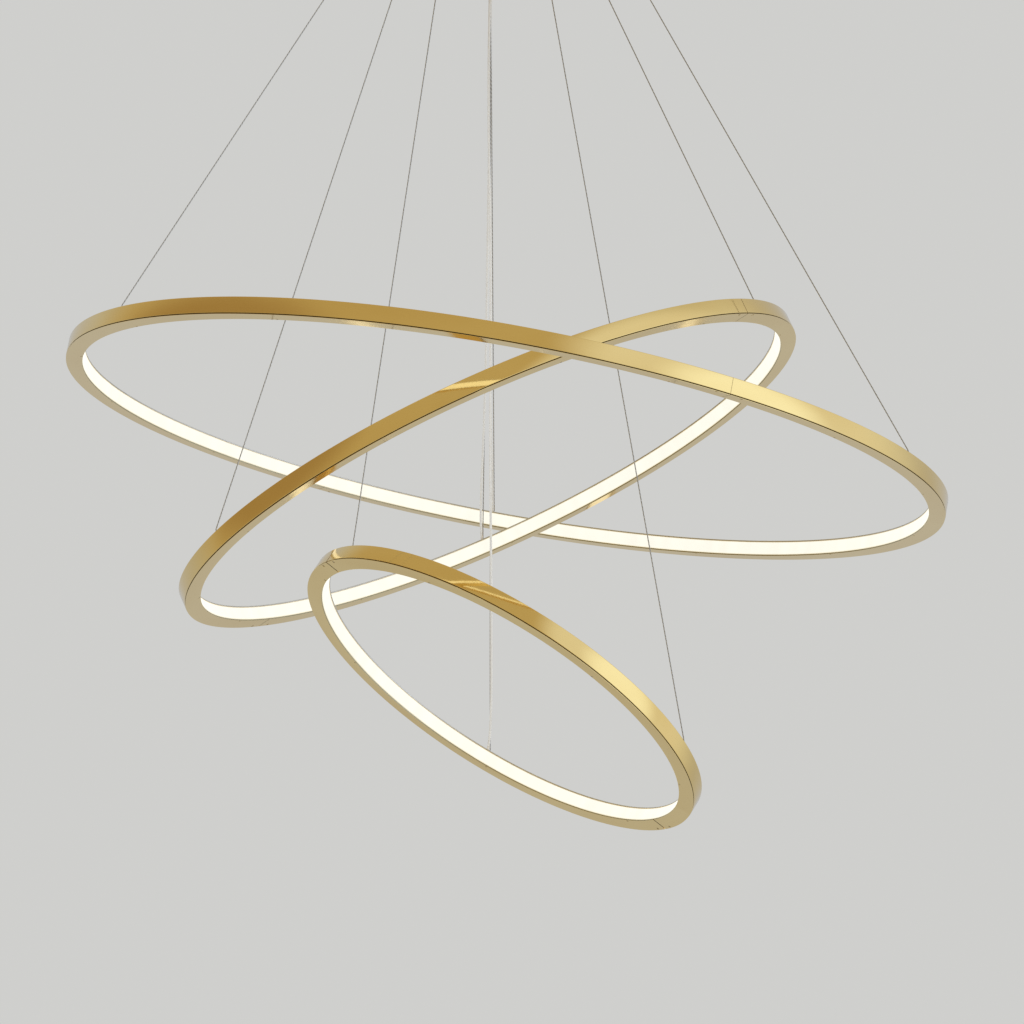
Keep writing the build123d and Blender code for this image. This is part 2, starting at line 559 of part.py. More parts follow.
def terminal_block():
    """The mains terminal: one entry right through for each pole, under a stepped back."""
    top = -PLATE_THICKNESS
    block = Pos(0, 0, top - TERMINAL_HEIGHT / 2) * Box(TERMINAL_LENGTH, TERMINAL_WIDTH, TERMINAL_HEIGHT)
    shoulder = Box(TERMINAL_LENGTH + 2, TERMINAL_SHOULDER, TERMINAL_SHOULDER)
    for side in (-1, 1):
        block -= Pos(0, side * TERMINAL_WIDTH / 2, top - TERMINAL_HEIGHT) * shoulder
    pitch = TERMINAL_LENGTH / TERMINAL_POLES
    for pole in range(TERMINAL_POLES):
        place = Pos((pole - (TERMINAL_POLES - 1) / 2) * pitch, 0, top - TERMINAL_HEIGHT / 2)
        block -= place * (Rot(90, 0, 0) * Cylinder(TERMINAL_ENTRY / 2, TERMINAL_WIDTH + 2))
    return Pos(TERMINAL_PLACE[0], TERMINAL_PLACE[1], 0) * block


# ---------------------------------------------------------------- write the pieces
save("canopy_cover", canopy_cover())
save("mounting_plate", mounting_plate())
save("cover_screws", *cover_screws())
for number, bearing in enumerate(DRIVER_BEARINGS, 1):
    save(f"driver_{number}", turned(bearing, driver_case()))
save("driver_screws", *driver_screws())
save("terminal_block", terminal_block())
save("gripper_bodies", *[Pos(p) * gripper_body() for p in gripper_places()])
save("gripper_nuts", *[Pos(p) * hex_nut(NUT_ACROSS_FLATS, STEM_DIAMETER, NUT_HEIGHT)
                       for p in gripper_places()])
save("cord_glands", *[Pos(gland_place(ring)) * cord_gland() for ring in RINGS])
save("gland_nuts", *[Pos(gland_place(ring)) * hex_nut(GLAND_NUT_ACROSS_FLATS, GLAND_STEM_DIAMETER, NUT_HEIGHT)
                     for ring in RINGS])

for ring in RINGS:
    save(f"{ring.name}_channel_a", channel_half(ring, 0))
    save(f"{ring.name}_channel_b", channel_half(ring, 1))
    save(f"{ring.name}_joiner_keys", *joiner_keys(ring))
    save(f"{ring.name}_joiner_screws", *joiner_screws(ring))
    save(f"{ring.name}_retaining_screws", *retaining_screws(ring))
    save(f"{ring.name}_led_strip", led_strip(ring))
    save(f"{ring.name}_diffuser", diffuser(ring))
    save(f"{ring.name}_wire_sockets", *wire_sockets(ring))
    save(f"{ring.name}_cord_grommet", cord_grommet(ring))
    save(f"{ring.name}_power_cord", power_cord(ring))
    for side, word in enumerate(WIRE_SIDES):
        place = at_bearing(ring.gripper_radius, ring.gripper_bearings[side])
        save(f"{ring.name}_nozzle_{word}", Pos(place) * gripper_nozzle())
        save(f"{ring.name}_wire_{word}", suspension_wire(ring, side))
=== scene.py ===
# %% [markdown]
# # A ring chandelier in gold and light
# Three hoops of gold anodised channel hang tilted, one inside another, from a round canopy. Each hoop is lit
# on its inner face and hangs on three thin steel wires, with one white cord beside the far wire. The CAD model
# gives the place and the size of every piece. This lesson makes the pieces that need finer curves than the
# CAD mesh has, and gives every surface its finish.

# %% Load the CAD model as a fixed frame
import math

import bmesh
import bpy
from mathutils import Matrix, Vector


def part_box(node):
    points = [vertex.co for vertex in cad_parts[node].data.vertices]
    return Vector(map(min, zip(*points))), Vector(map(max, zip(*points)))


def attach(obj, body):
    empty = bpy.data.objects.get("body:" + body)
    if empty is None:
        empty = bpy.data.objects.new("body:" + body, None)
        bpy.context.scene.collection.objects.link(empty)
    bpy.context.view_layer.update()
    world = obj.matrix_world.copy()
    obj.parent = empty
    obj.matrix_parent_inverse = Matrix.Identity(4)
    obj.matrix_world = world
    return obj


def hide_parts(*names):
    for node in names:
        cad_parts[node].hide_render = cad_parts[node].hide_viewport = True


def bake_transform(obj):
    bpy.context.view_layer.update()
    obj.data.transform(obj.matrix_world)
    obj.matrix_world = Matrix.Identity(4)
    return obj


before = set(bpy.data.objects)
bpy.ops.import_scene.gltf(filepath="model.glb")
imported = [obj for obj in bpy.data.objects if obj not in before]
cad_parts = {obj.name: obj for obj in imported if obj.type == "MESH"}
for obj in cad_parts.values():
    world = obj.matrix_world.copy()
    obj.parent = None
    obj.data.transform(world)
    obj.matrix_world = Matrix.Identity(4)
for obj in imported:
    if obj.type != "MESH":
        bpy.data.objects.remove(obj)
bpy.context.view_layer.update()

# %% [markdown]
# ## The camera
# The photograph looks up at the hoops from below, from far away, so parallel lines hardly meet. A long lens
# does that. The place and the upward turn of the camera were fitted to the outlines of the three hoops.

# %% Place the camera
camera_data = bpy.data.cameras.new("camera")
camera_data.sensor_width = 36.0
camera_data.lens = 144.49
camera_data.clip_end = 100.0
camera = bpy.data.objects.new("camera", camera_data)
camera.location = (0.020, -3.650, -1.119)
camera.rotation_euler = (math.radians(98.5), 0.0, 0.0)
bpy.context.collection.objects.link(camera)
bpy.context.scene.camera = camera
bpy.context.scene.view_settings.view_transform = "Standard"
print("camera lens", camera_data.lens, "mm")

# %% [markdown]
# ## The sizes of the hoops
# Each hoop is made flat, round the Z axis, and is then laid into its own plane. A roll lifts its right side and
# a tilt lifts its far side. The sizes are those of the CAD source, in metres, because a piece that replaces a CAD
# node has to lie exactly where that node lies.

# %% The hoops' planes
MM = 0.001
TINY = 1e-6                    # metres: two points this near are one
SECTION = 15.0 * MM            # width and height of the channel
WALL = 1.2 * MM
BODY_Z = SECTION / 2           # half of the channel's height
INSIDE_Z = BODY_Z - WALL
WIRE_EDGE = 5.2 * MM           # from the outer face to a wire
CORD_EDGE = 10.2 * MM          # from the outer face to the cord
CORD_SIDESTEP = 2.0 * MM       # round the hoop, from the far wire to the cord
JOINER_EDGE = 2.25 * MM        # from the outer face to a joiner's screw
JOINER_SIDESTEP = 12.0 * MM    # round the hoop, from the seam to a joiner's screw
RETAINER_EDGE = 13.5 * MM      # from the outer face to a screw that holds the milky band
SIDES = ("far", "left", "right")


def hoop_plane(centre, roll, tilt):
    """The matrix that lays a flat hoop into its plane."""
    across = Vector((math.cos(math.radians(roll)), 0.0, math.sin(math.radians(roll))))
    away = Vector((0.0, math.cos(math.radians(tilt)), math.sin(math.radians(tilt))))
    up = across.cross(away).normalized()
    turn = Matrix((across, up.cross(across), up)).transposed()
    return Matrix.Translation(Vector(centre) * MM) @ turn.to_4x4()


HOOPS = {
    "ring_1": {"radius": 400 * MM, "plane": hoop_plane((14.2, -2.4, -507.0), -10.3, -2.8), "seam": 297.5,
               "gap": 0.3 * MM, "far_wire": 91.5, "grippers": (130.0, (90.0, 210.0, 330.0)),
               "retainers": (10, 35, 60, 86, 111, 137, 163, 189, 214.5, 240.3, 267.1, 290.2, 316, 343)},
    "ring_2": {"radius": 300 * MM, "plane": hoop_plane((0.1, 0.2, -534.3), 24.3, -5.5), "seam": 326.0,
               "gap": 0.6 * MM, "far_wire": 93.2, "grippers": (93.0, (90.0, 221.0, 335.0)),
               "retainers": (23.2, 55.9, 88.6, 121.4, 156, 186.8, 219.5, 252.3, 285, 316, 350.5)},
    "ring_3": {"radius": 200 * MM, "plane": hoop_plane((11.5, 2.2, -734.6), -31.6, -16.5), "seam": 200.0,
               "gap": 1.4 * MM, "far_wire": 87.2, "grippers": (52.5, (90.0, 216.0, 338.0)),
               "retainers": (34.3, 85.7, 137.1, 188, 240, 291.4, 342.9)},
}


def on_hoop(hoop, inset, angle, height):
    """A point of a hoop: so far in from its outer face, at an angle round it, at a height over its middle."""
    a, r = math.radians(angle), hoop["radius"] - inset
    return hoop["plane"] @ Vector((r * math.cos(a), r * math.sin(a), height))


def at_bearing(radius, bearing, height):
    """A point under the canopy."""
    a = math.radians(bearing)
    return Vector((radius * math.cos(a), radius * math.sin(a), height))


for name, hoop in HOOPS.items():
    print(name, "wire corner", [round(c, 4) for c in on_hoop(hoop, WIRE_EDGE, hoop["far_wire"], BODY_Z)])

# %% [markdown]
# ## The power cords
# A cord is a fixed length of something flexible. Here each one hangs almost straight beside the far wire, from
# its gland under the canopy down to the hoop, and it is a little longer than the straight way, so it wanders by
# a few millimetres. Its line is a NURBS spline with the CAD route's points as control points. The tube is a mesh,
# because a mesh can be blended between the canopy and the hoop when the hoop is raised or lowered.

# %% A tube that follows a NURBS line


def nurbs_line(name, route, steps):
    """The points along a smooth line with these control points."""
    data = bpy.data.curves.new(name + "_line", "CURVE")
    data.dimensions = "3D"
    data.resolution_u = steps
    spline = data.splines.new("NURBS")
    spline.points.add(len(route) - 1)
    for point, place in zip(spline.points, route):
        point.co = (*place, 1.0)
    spline.order_u = 3
    spline.use_endpoint_u = True
    line = bpy.data.objects.new(name + "_line", data)
    bpy.context.collection.objects.link(line)
    bpy.context.view_layer.update()
    mesh = bpy.data.meshes.new_from_object(line.evaluated_get(bpy.context.evaluated_depsgraph_get()))
    points = [v.co.copy() for v in mesh.vertices]
    bpy.data.objects.remove(line)
    bpy.data.meshes.remove(mesh)
    return points


def tube(name, points, diameter, sides):
    """A closed tube along points. Its UV map has metres along it and metres round it."""
    rings, corners, distance = [], [], 0.0
    side = Vector((1.0, 0.0, 0.0))
    for i, place in enumerate(points):
        ahead = (points[min(i + 1, len(points) - 1)] - points[max(i - 1, 0)]).normalized()
        side = (side - ahead * side.dot(ahead)).normalized()
        third = ahead.cross(side)
        distance += (place - points[i - 1]).length if i else 0.0
        rings.append(distance)
        for k in range(sides):
            a = 2 * math.pi * k / sides
            corners.append(place + (side * math.cos(a) + third * math.sin(a)) * diameter / 2)
    faces = [(i * sides + k, i * sides + (k + 1) % sides, (i + 1) * sides + (k + 1) % sides, (i + 1) * sides + k)
             for i in range(len(points) - 1) for k in range(sides)]
    faces += [tuple(reversed(range(sides))), tuple(range(len(corners) - sides, len(corners)))]
    mesh = bpy.data.meshes.new(name)
    mesh.from_pydata(corners, [], faces)
    layer = mesh.uv_layers.new(name="along")
    for polygon in mesh.polygons:
        for loop in polygon.loop_indices:
            index = mesh.loops[loop].vertex_index
            turn = index % sides
            if polygon.index < len(faces) - 2 and turn == 0 and polygon.index % sides == sides - 1:
                turn = sides
            layer.data[loop].uv = (rings[index // sides], turn / sides * math.pi * diameter)
        polygon.use_smooth = True
    piece = bpy.data.objects.new(name, mesh)
    bpy.context.collection.objects.link(piece)
    return piece


# %% Lay the three power cords
CORD = 2.2 * MM
CORD_ROUTES = {
    "ring_1": [(0, 112, -45), (0, 112, -58), (-1.6, 176, -164), (-0.4, 249, -287), (-1.9, 322, -407),
               (1.5, 387.5, -509.0), (-0.1, 387.0, -517.8)],
    "ring_2": [(0, 75, -45), (0, 75, -58), (-1, 124, -172), (-3.4, 176, -300), (-5.6, 231, -430),
               (-11.9, 289.6, -551.6), (-8.3, 288.8, -559.8)],
    "ring_3": [(0, 34.5, -45), (0, 34.5, -58), (-2.4, 59, -180), (0.6, 90, -330), (-0.6, 122, -485),
               (0.9, 152, -630), (0.8, 189.6, -766.0), (-3.7, 187.4, -773.4)],
}
power_cords = []
for name, route in CORD_ROUTES.items():
    places = [Vector(p) * MM for p in route]
    line = nurbs_line(name, places, 12)
    cord = tube(name + "_cord", line, CORD, 12)
    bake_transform(cord)
    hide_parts(name + "_power_cord")
    power_cords.append(cord)
    print(cord.name, "points", len(line))

# %% [markdown]
# ## The steel wires
# Nine wires of twisted steel strands carry the hoops, and each one is pulled dead straight by the weight. So the
# line has two more control points, six diameters from its bends at the nozzle and at the hoop, and is straight
# between them. The strands are too thin to model one by one, so the finish draws them.

# %% Stretch the nine wires
WIRE = 1.0 * MM
NOZZLE_MOUTH = -58.0 * MM
BEND_REACH = 2.2 * MM
BALL_Z = 4.6 * MM
steel_wires = []
for name, hoop in HOOPS.items():
    reach, bearings = hoop["grippers"]
    for k, side in enumerate(SIDES):
        mouth = at_bearing(reach * MM, bearings[k], NOZZLE_MOUTH)
        angle = hoop["far_wire"] + 120.0 * k
        bend, foot = mouth - Vector((0, 0, BEND_REACH)), on_hoop(hoop, WIRE_EDGE, angle, BODY_Z + BEND_REACH)
        run = (foot - bend).normalized() * 6 * WIRE
        route = [mouth + Vector((0, 0, 4 * MM)), bend, bend + run, foot - run, foot,
                 on_hoop(hoop, WIRE_EDGE, angle, BALL_Z)]
        line = nurbs_line(name, route, 20)
        wire = tube(f"{name}_steel_{side}", line, WIRE, 10)
        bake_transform(wire)
        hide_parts(f"{name}_wire_{side}")
        steel_wires.append(wire)
print("wires:", len(steel_wires))

# %% [markdown]
# ## Tools for modelling by hand
# The rest of the pieces start as a primitive at its size and place and are shaped in edit mode, as by hand. In
# a script nobody clicks on a face, so `pick` selects what lies at a certain place. Everything is deselected
# before a primitive is added, because an operator works on all that is selected.

# %% Pick, start and finish a piece


def middle(item):
    """The middle of a vertex, an edge or a face."""
    if hasattr(item, "co"):
        return item.co
    return sum((v.co for v in item.verts), Vector()) / len(item.verts)


def pick(kind, test):
    """Select only the vertices, edges or faces whose middle passes the test, in edit mode."""
    bpy.ops.mesh.select_mode(type=kind)
    bpy.ops.mesh.select_all(action="DESELECT")
    shape = bmesh.from_edit_mesh(bpy.context.object.data)
    items = {"VERT": shape.verts, "EDGE": shape.edges, "FACE": shape.faces}[kind]
    chosen = [item for item in items if test(middle(item))]
    for item in chosen:
        item.select_set(True)
    shape.select_flush_mode()
    bmesh.update_edit_mesh(bpy.context.object.data)
    return len(chosen)


def start(name, add, **sizes):
    """Add a primitive with nothing else selected, put its place into its mesh and go to edit mode."""
    bpy.ops.object.select_all(action="DESELECT")
    add(**sizes)
    bpy.ops.object.transform_apply(location=True, rotation=True, scale=True)
    bpy.context.object.name = name
    bpy.ops.object.mode_set(mode="EDIT")
    return bpy.context.object


def close_up(piece):
    """Merge doubles, then turn all faces outwards."""
    bpy.ops.mesh.select_all(action="SELECT")
    bpy.ops.mesh.remove_doubles(threshold=TINY)
    bpy.ops.mesh.normals_make_consistent(inside=False)
    bpy.ops.object.mode_set(mode="OBJECT")
    return piece


def smooth(piece, degrees=30.0):
    """Shade smooth, with the sharp edges kept."""
    bpy.ops.object.select_all(action="DESELECT")
    piece.select_set(True)
    bpy.context.view_layer.objects.active = piece
    bpy.ops.object.shade_smooth_by_angle(angle=math.radians(degrees))
    return piece


def drills(name, places, radius, low, high):
    """Upright bars at these places, as one mesh for a boolean."""
    bars = []
    for place in places:
        bpy.ops.object.select_all(action="DESELECT")
        bpy.ops.mesh.primitive_cylinder_add(vertices=32, radius=radius, depth=high - low,
                                            location=(place.x, place.y, (low + high) / 2))
        bars.append(bpy.context.object)
    for bar in bars:
        bar.select_set(True)
    if len(bars) > 1:
        bpy.ops.object.join()
    bpy.ops.object.transform_apply(location=True, rotation=True, scale=True)
    bpy.context.object.name = name
    return bpy.context.object


def carve(piece, tool):
    """Cut the tool out of the piece and throw the tool away."""
    cut = piece.modifiers.new("cut", "BOOLEAN")
    cut.operation, cut.solver, cut.object = "DIFFERENCE", "EXACT", tool
    bpy.ops.object.select_all(action="DESELECT")
    piece.select_set(True)
    bpy.context.view_layer.objects.active = piece
    bpy.ops.object.modifier_apply(modifier=cut.name)
    bpy.data.objects.remove(tool)


def cut_across(places, direction):
    """Cut all of the mesh along planes at these places."""
    for place in places:
        bpy.ops.mesh.select_all(action="SELECT")
        bpy.ops.mesh.bisect(plane_co=Vector(direction) * place, plane_no=direction)


# %% [markdown]
# ## The channel of a hoop
# A channel is an extruded profile that is rolled into a half circle. It opens inwards, and the milky band sits in
# its mouth. A shadow line runs along the foot of the outer face, where the polished face ends just short of the
# bottom flange, and further on the groove's faces get a near-black finish, which is painted shade. Here a square
# plane is the section: cuts mark out the walls, the faces in the mouth and in the groove are deleted, the corners
# that show are rounded, and the outline is spun round the hoop's axis. Spinning gives an exact circle and even
# quads, which a mirror finish needs. The spin operator turns clockwise seen from above, so its angle is negative
# here.

# %% Draw the section and spin it
GROOVE = {"depth": 0.7 * MM, "low": -7.25 * MM, "high": -6.45 * MM, "lip": 0.25 * MM}
OUTER_ROUND, INNER_ROUND = 0.5 * MM, 0.2 * MM
HALF_STEPS = 180               # steps of half a turn


def channel_outline(radius):
    """The channel's section as a loop of edges in the XZ plane."""
    web, inner = radius - WALL, radius - SECTION
    floor, lip = radius - GROOVE["depth"], radius - GROOVE["lip"]
    start("section", bpy.ops.mesh.primitive_plane_add, size=SECTION, location=(radius - SECTION / 2, 0, 0),
          rotation=(math.pi / 2, 0, 0))
    cut_across((web, floor, lip), (1, 0, 0))
    cut_across((INSIDE_Z, -INSIDE_Z, GROOVE["low"], GROOVE["high"]), (0, 0, 1))
    pick("FACE", lambda m: m.x < web and abs(m.z) < INSIDE_Z)
    bpy.ops.mesh.delete(type="FACE")
    pick("FACE", lambda m: m.x > floor and GROOVE["low"] < m.z < GROOVE["high"])
    bpy.ops.mesh.delete(type="FACE")
    pick("FACE", lambda m: m.x > lip and m.z < GROOVE["low"])
    bpy.ops.mesh.delete(type="FACE")
    bpy.ops.mesh.select_all(action="SELECT")
    bpy.ops.mesh.dissolve_limited(angle_limit=0.01)
    pick("VERT", lambda m: m.x > radius - TINY)
    bpy.ops.mesh.bevel(offset=OUTER_ROUND, segments=5, affect="VERTICES")
    pick("VERT", lambda m: m.x < inner + TINY)
    bpy.ops.mesh.bevel(offset=INNER_ROUND, segments=2, affect="VERTICES")
    bpy.ops.mesh.select_all(action="SELECT")
    bpy.ops.mesh.delete(type="ONLY_FACE")
    return bpy.context.object


def hoop_uv(piece, radius):
    """A UV map in metres: along the hoop, and across its section from the bottom lip round to the top one."""
    layer = piece.data.uv_layers.new(name="hoop")
    vertices, loops = piece.data.vertices, piece.data.loops
    for polygon in piece.data.polygons:
        here = math.atan2(polygon.center.y, polygon.center.x) % (2 * math.pi)
        for loop in polygon.loop_indices:
            co = vertices[loops[loop].vertex_index].co
            turn = math.atan2(co.y, co.x) % (2 * math.pi)
            turn += 2 * math.pi * round((here - turn) / (2 * math.pi))
            inset = radius - math.hypot(co.x, co.y)
            layer.data[loop].uv = (turn * radius, co.z + math.copysign(inset, co.z))


def spin_half(radius, gap):
    """Spin the section over half a circle less the seam's gap, and close both ends."""
    piece = channel_outline(radius)
    bpy.ops.mesh.select_all(action="SELECT")
    arc = math.pi - gap / radius
    bpy.ops.mesh.spin(steps=HALF_STEPS, angle=-arc, center=(0, 0, 0), axis=(0, 0, 1))
    for end in (0.0, arc):
        ahead = Vector((-math.sin(end), math.cos(end), 0.0))
        middle_of_end = Vector((math.cos(end), math.sin(end), 0.0)) * radius
        found = pick("EDGE", lambda m: abs(m.dot(ahead)) < TINY and (m - middle_of_end).length < 3 * SECTION)
        print("  end at", round(math.degrees(end), 1), "edges", found)
        bpy.ops.mesh.edge_face_add()
    return close_up(piece)


# %% [markdown]
# ## Drill the hoops and lay them in their planes
# Each half is turned to its seam and drilled while it still lies flat: the top flange for the wires and the cord,
# the bottom one for the small screws. Only then is it laid into its plane. A boolean leaves long thin faces round
# a hole, and smooth shading would smear over them, so the level faces of the flanges are shaded flat.

# %% Six channel halves
TOP_FLANGE, BOTTOM_FLANGE = (5.3 * MM, 8.5 * MM), (-8.5 * MM, -5.3 * MM)
HOLES = {"wire": 2.15 * MM, "cord": 1.85 * MM, "joiner": 1.25 * MM, "retainer": 0.95 * MM}    # radii


def hole_places(hoop):
    """Where the three wires and the cord go through the top flange of a flat hoop."""
    radius, far = hoop["radius"], hoop["far_wire"]
    wires = [at_bearing(radius - WIRE_EDGE, far + turn, 0) for turn in (0, 120, 240)]
    return wires, [at_bearing(radius - CORD_EDGE, far + math.degrees(CORD_SIDESTEP / radius), 0)]


def drill_hoop(piece, hoop):
    """Holes in the top flange for the wires and the cord, and in the bottom one for the small screws."""
    wires, cord = hole_places(hoop)
    radius, seam = hoop["radius"], hoop["seam"]
    aside = math.degrees(JOINER_SIDESTEP / radius)
    joiners = [at_bearing(radius - JOINER_EDGE, seam + turn, 0) for turn in (-aside, aside, 180 - aside, 180 + aside)]
    retainers = [at_bearing(radius - RETAINER_EDGE, angle, 0) for angle in hoop["retainers"]]
    for places, hole, flange in ((wires, "wire", TOP_FLANGE), (cord, "cord", TOP_FLANGE),
                                 (joiners, "joiner", BOTTOM_FLANGE), (retainers, "retainer", BOTTOM_FLANGE)):
        carve(piece, drills("hoop_drill", places, HOLES[hole], *flange))


channel_halves = []
for name, hoop in HOOPS.items():
    for k, half in enumerate("ab"):
        piece = spin_half(hoop["radius"], hoop["gap"])
        begin = math.radians(hoop["seam"] + 180 * k) + hoop["gap"] / hoop["radius"] / 2
        piece.name = f"{name}_gold_channel_{half}"
        piece.data.transform(Matrix.Rotation(begin, 4, "Z"))
        drill_hoop(piece, hoop)
        hoop_uv(piece, hoop["radius"])
        level = [abs(polygon.normal.z) > 0.9999 for polygon in piece.data.polygons]
        piece.data.transform(hoop["plane"])
        smooth(piece)
        for polygon, is_level in zip(piece.data.polygons, level):
            polygon.use_smooth = not is_level
        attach(piece, name)
        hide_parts(f"{name}_channel_{half}")
        channel_halves.append(piece)
        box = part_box(f"{name}_channel_{half}")
        off = [abs(end(v.co[i] for v in piece.data.vertices) - corner[i]) / MM
               for end, corner in zip((min, max), box) for i in range(3)]
        print(piece.name, "faces", len(piece.data.polygons), "box off by at most mm", round(max(off), 2))

# %% [markdown]
# ## The milky bands
# A strip of opal acrylic closes the mouth of the channel. Light comes through it evenly, so the band is the
# brightest thing in the picture. It is made as the channel is: a small section with rounded corners, spun all the
# way round. After a full turn the first and the last ring of vertices coincide, and merging them closes the seam.

# %% Spin the three bands
BAND_DEPTH = 2.2 * MM
BAND_Z = INSIDE_Z - 0.1 * MM   # half of the band's width, with a small gap to the flange
BAND_ROUND = 0.4 * MM
milky_bands = []
for name, hoop in HOOPS.items():
    inner = hoop["radius"] - SECTION
    piece = start("band", bpy.ops.mesh.primitive_plane_add, size=1, rotation=(math.pi / 2, 0, 0))
    bpy.ops.mesh.select_all(action="SELECT")
    bpy.ops.transform.resize(value=(BAND_DEPTH, 1, 2 * BAND_Z), center_override=(0, 0, 0))
    bpy.ops.transform.translate(value=(inner + BAND_DEPTH / 2, 0, 0))
    pick("VERT", lambda m: m.x < inner + BAND_DEPTH / 2)
    bpy.ops.mesh.bevel(offset=BAND_ROUND, segments=3, affect="VERTICES")
    bpy.ops.mesh.select_all(action="SELECT")
    bpy.ops.mesh.delete(type="ONLY_FACE")
    bpy.ops.mesh.select_all(action="SELECT")
    bpy.ops.mesh.spin(steps=2 * HALF_STEPS, angle=-2 * math.pi, center=(0, 0, 0), axis=(0, 0, 1))
    close_up(piece)
    hoop_uv(piece, hoop["radius"])
    piece.name = name + "_milky_band"
    piece.matrix_world = hoop["plane"]
    bpy.ops.object.transform_apply(location=True, rotation=True, scale=True)
    smooth(piece)
    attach(piece, name)
    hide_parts(name + "_diffuser")
    milky_bands.append(piece)
    most = max(len(polygon.vertices) for polygon in piece.data.polygons)
    print(piece.name, "faces", len(piece.data.polygons), "largest face has", most, "corners")

# %% [markdown]
# ## The canopy's cover
# The cover is a spun brass pan with a rounded edge, open to the ceiling. A cylinder with many sides is a good start:
# its top is deleted, the lower rim is bevelled to the 5 mm radius of the spinning tool, and a wall is given to
# the shell. The holes are cut with booleans: one for the grippers, one for the glands and one for each side screw.

# %% Shape the cover and drill it
CANOPY = {"radius": 160 * MM, "height": 40 * MM, "wall": 1.2 * MM, "corner": 5 * MM}
UNDER = -CANOPY["height"]
GRIPPER_HOLE, GLAND_HOLE, SCREW_HOLE = 3.05 * MM, 4.05 * MM, 1.85 * MM    # radii
SCREW_DROP = 9 * MM            # from the ceiling down to the cover's side screws
GRIPPER_PLACES = [at_bearing(reach * MM, b, 0.0) for hoop in HOOPS.values()
                  for reach, bearings in [hoop["grippers"]] for b in bearings]
GLAND_PLACES = [Vector((0, y * MM, 0)) for y in (112, 75, 34.5)]

cover = start("canopy_pan", bpy.ops.mesh.primitive_cylinder_add, vertices=240, radius=CANOPY["radius"],
              depth=CANOPY["height"], location=(0, 0, UNDER / 2))
pick("FACE", lambda m: m.z > -TINY)
bpy.ops.mesh.delete(type="FACE")
pick("EDGE", lambda m: m.z < UNDER + TINY)
bpy.ops.mesh.bevel(offset=CANOPY["corner"], segments=8, affect="EDGES", profile=0.5)
pick("FACE", lambda m: m.z < UNDER + TINY and m.xy.length < CANOPY["corner"])
bpy.ops.mesh.inset(thickness=8 * MM)
bpy.ops.mesh.inset(thickness=40 * MM)
close_up(cover)
wall = cover.modifiers.new("wall", "SOLIDIFY")
wall.thickness, wall.offset = CANOPY["wall"], -1.0
bpy.ops.object.modifier_apply(modifier=wall.name)
low, high = UNDER - 2 * MM, UNDER + 4 * MM
carve(cover, drills("gripper_drills", GRIPPER_PLACES, GRIPPER_HOLE, low, high))
carve(cover, drills("gland_drills", GLAND_PLACES, GLAND_HOLE, low, high))
for bearing in (0, 120, 240):
    side_drill = drills("side_drill", [Vector()], SCREW_HOLE, CANOPY["radius"] - 10 * MM, CANOPY["radius"] + 5 * MM)
    side_drill.data.transform(Matrix.Rotation(math.radians(bearing), 4, "Z")
                              @ Matrix.Translation((0, 0, -SCREW_DROP)) @ Matrix.Rotation(math.pi / 2, 4, "Y"))
    carve(cover, side_drill)
smooth(cover)
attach(cover, "canopy")
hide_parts("canopy_cover")
print(cover.name, "faces", len(cover.data.polygons),
      "box", [tuple(round(c, 4) for c in corner) for corner in cover.bound_box][::6])

# %% [markdown]
# ## Turned fittings
# Grippers, nozzles and glands are turned parts. A circle of vertices is the start, and each next step of the
# profile is one extrusion and one scaling of the open rim. So `turn_on_lathe` works as a lathe does, from one end
# of the bar to the other.

# %% A lathe


def turn_on_lathe(name, profile, sides=40):
    """A closed turned shape from (radius, height) steps. The first and the last step may meet for a bore."""
    start_radius, start_height = profile[0]
    piece = start(name, bpy.ops.mesh.primitive_circle_add, vertices=sides, radius=start_radius,
                  location=(0, 0, start_height))
    bpy.ops.mesh.select_mode(type="EDGE")
    bpy.ops.mesh.select_all(action="SELECT")
    before, height = start_radius, start_height
    for radius, z in profile[1:]:
        bpy.ops.mesh.extrude_region_move(TRANSFORM_OT_translate={"value": (0, 0, z - height)})
        bpy.ops.transform.resize(value=(radius / before, radius / before, 1), center_override=(0, 0, z))
        before, height = radius, z
    return close_up(piece)


def spread(master, name, places):
    """Copy a finished piece to each place, then join the copies into one mesh."""
    copies = []
    for place in places:
        twin = master.copy()
        twin.data = master.data.copy()
        twin.data.transform(Matrix.Translation(place))
        bpy.context.collection.objects.link(twin)
        copies.append(twin)
    bpy.ops.object.select_all(action="DESELECT")
    for twin in copies:
        twin.select_set(True)
    bpy.context.view_layer.objects.active = copies[0]
    if len(copies) > 1:
        bpy.ops.object.join()
    bpy.context.object.name = name
    return bpy.context.object


# %% [markdown]
# ## Cable grippers
# A gripper holds its wire with three balls in a cone. Its round body screws up through the canopy, its lower end
# tapers, and a fine knurl gives the fingers a hold. The knurl is made from the lathe's even sides: every second
# flute of one band is pushed in. Under the body hangs the sprung nozzle, which lets the wire go when it is
# pushed up. Each nozzle moves by itself, so each one stays a piece of its own.

# %% Nine grippers and nine nozzles
FLUTES = 64
gripper_profile = [(0.9, 11.0), (2.7, 11.0), (3.0, 10.6), (3.0, 0.0), (4.7, 0.0), (5.0, -0.3), (5.0, -1.6),
                   (4.7, -1.9), (4.7, -2.3), (5.0, -2.6), (5.0, -6.4), (4.7, -6.7), (4.7, -7.1), (5.0, -7.4),
                   (5.0, -9.0), (3.6, -11.85), (3.4, -12.0), (2.05, -12.0), (2.05, 9.3), (0.9, 9.3), (0.9, 11.0)]
gripper = turn_on_lathe("gripper", [(r * MM, z * MM) for r, z in gripper_profile], sides=FLUTES)
bpy.ops.object.mode_set(mode="EDIT")
pick("EDGE", lambda m: -6.4 * MM < m.z < -2.6 * MM and m.xy.length > 4.9 * MM
     and round(math.degrees(math.atan2(m.y, m.x)) * FLUTES / 360) % 2 == 0)
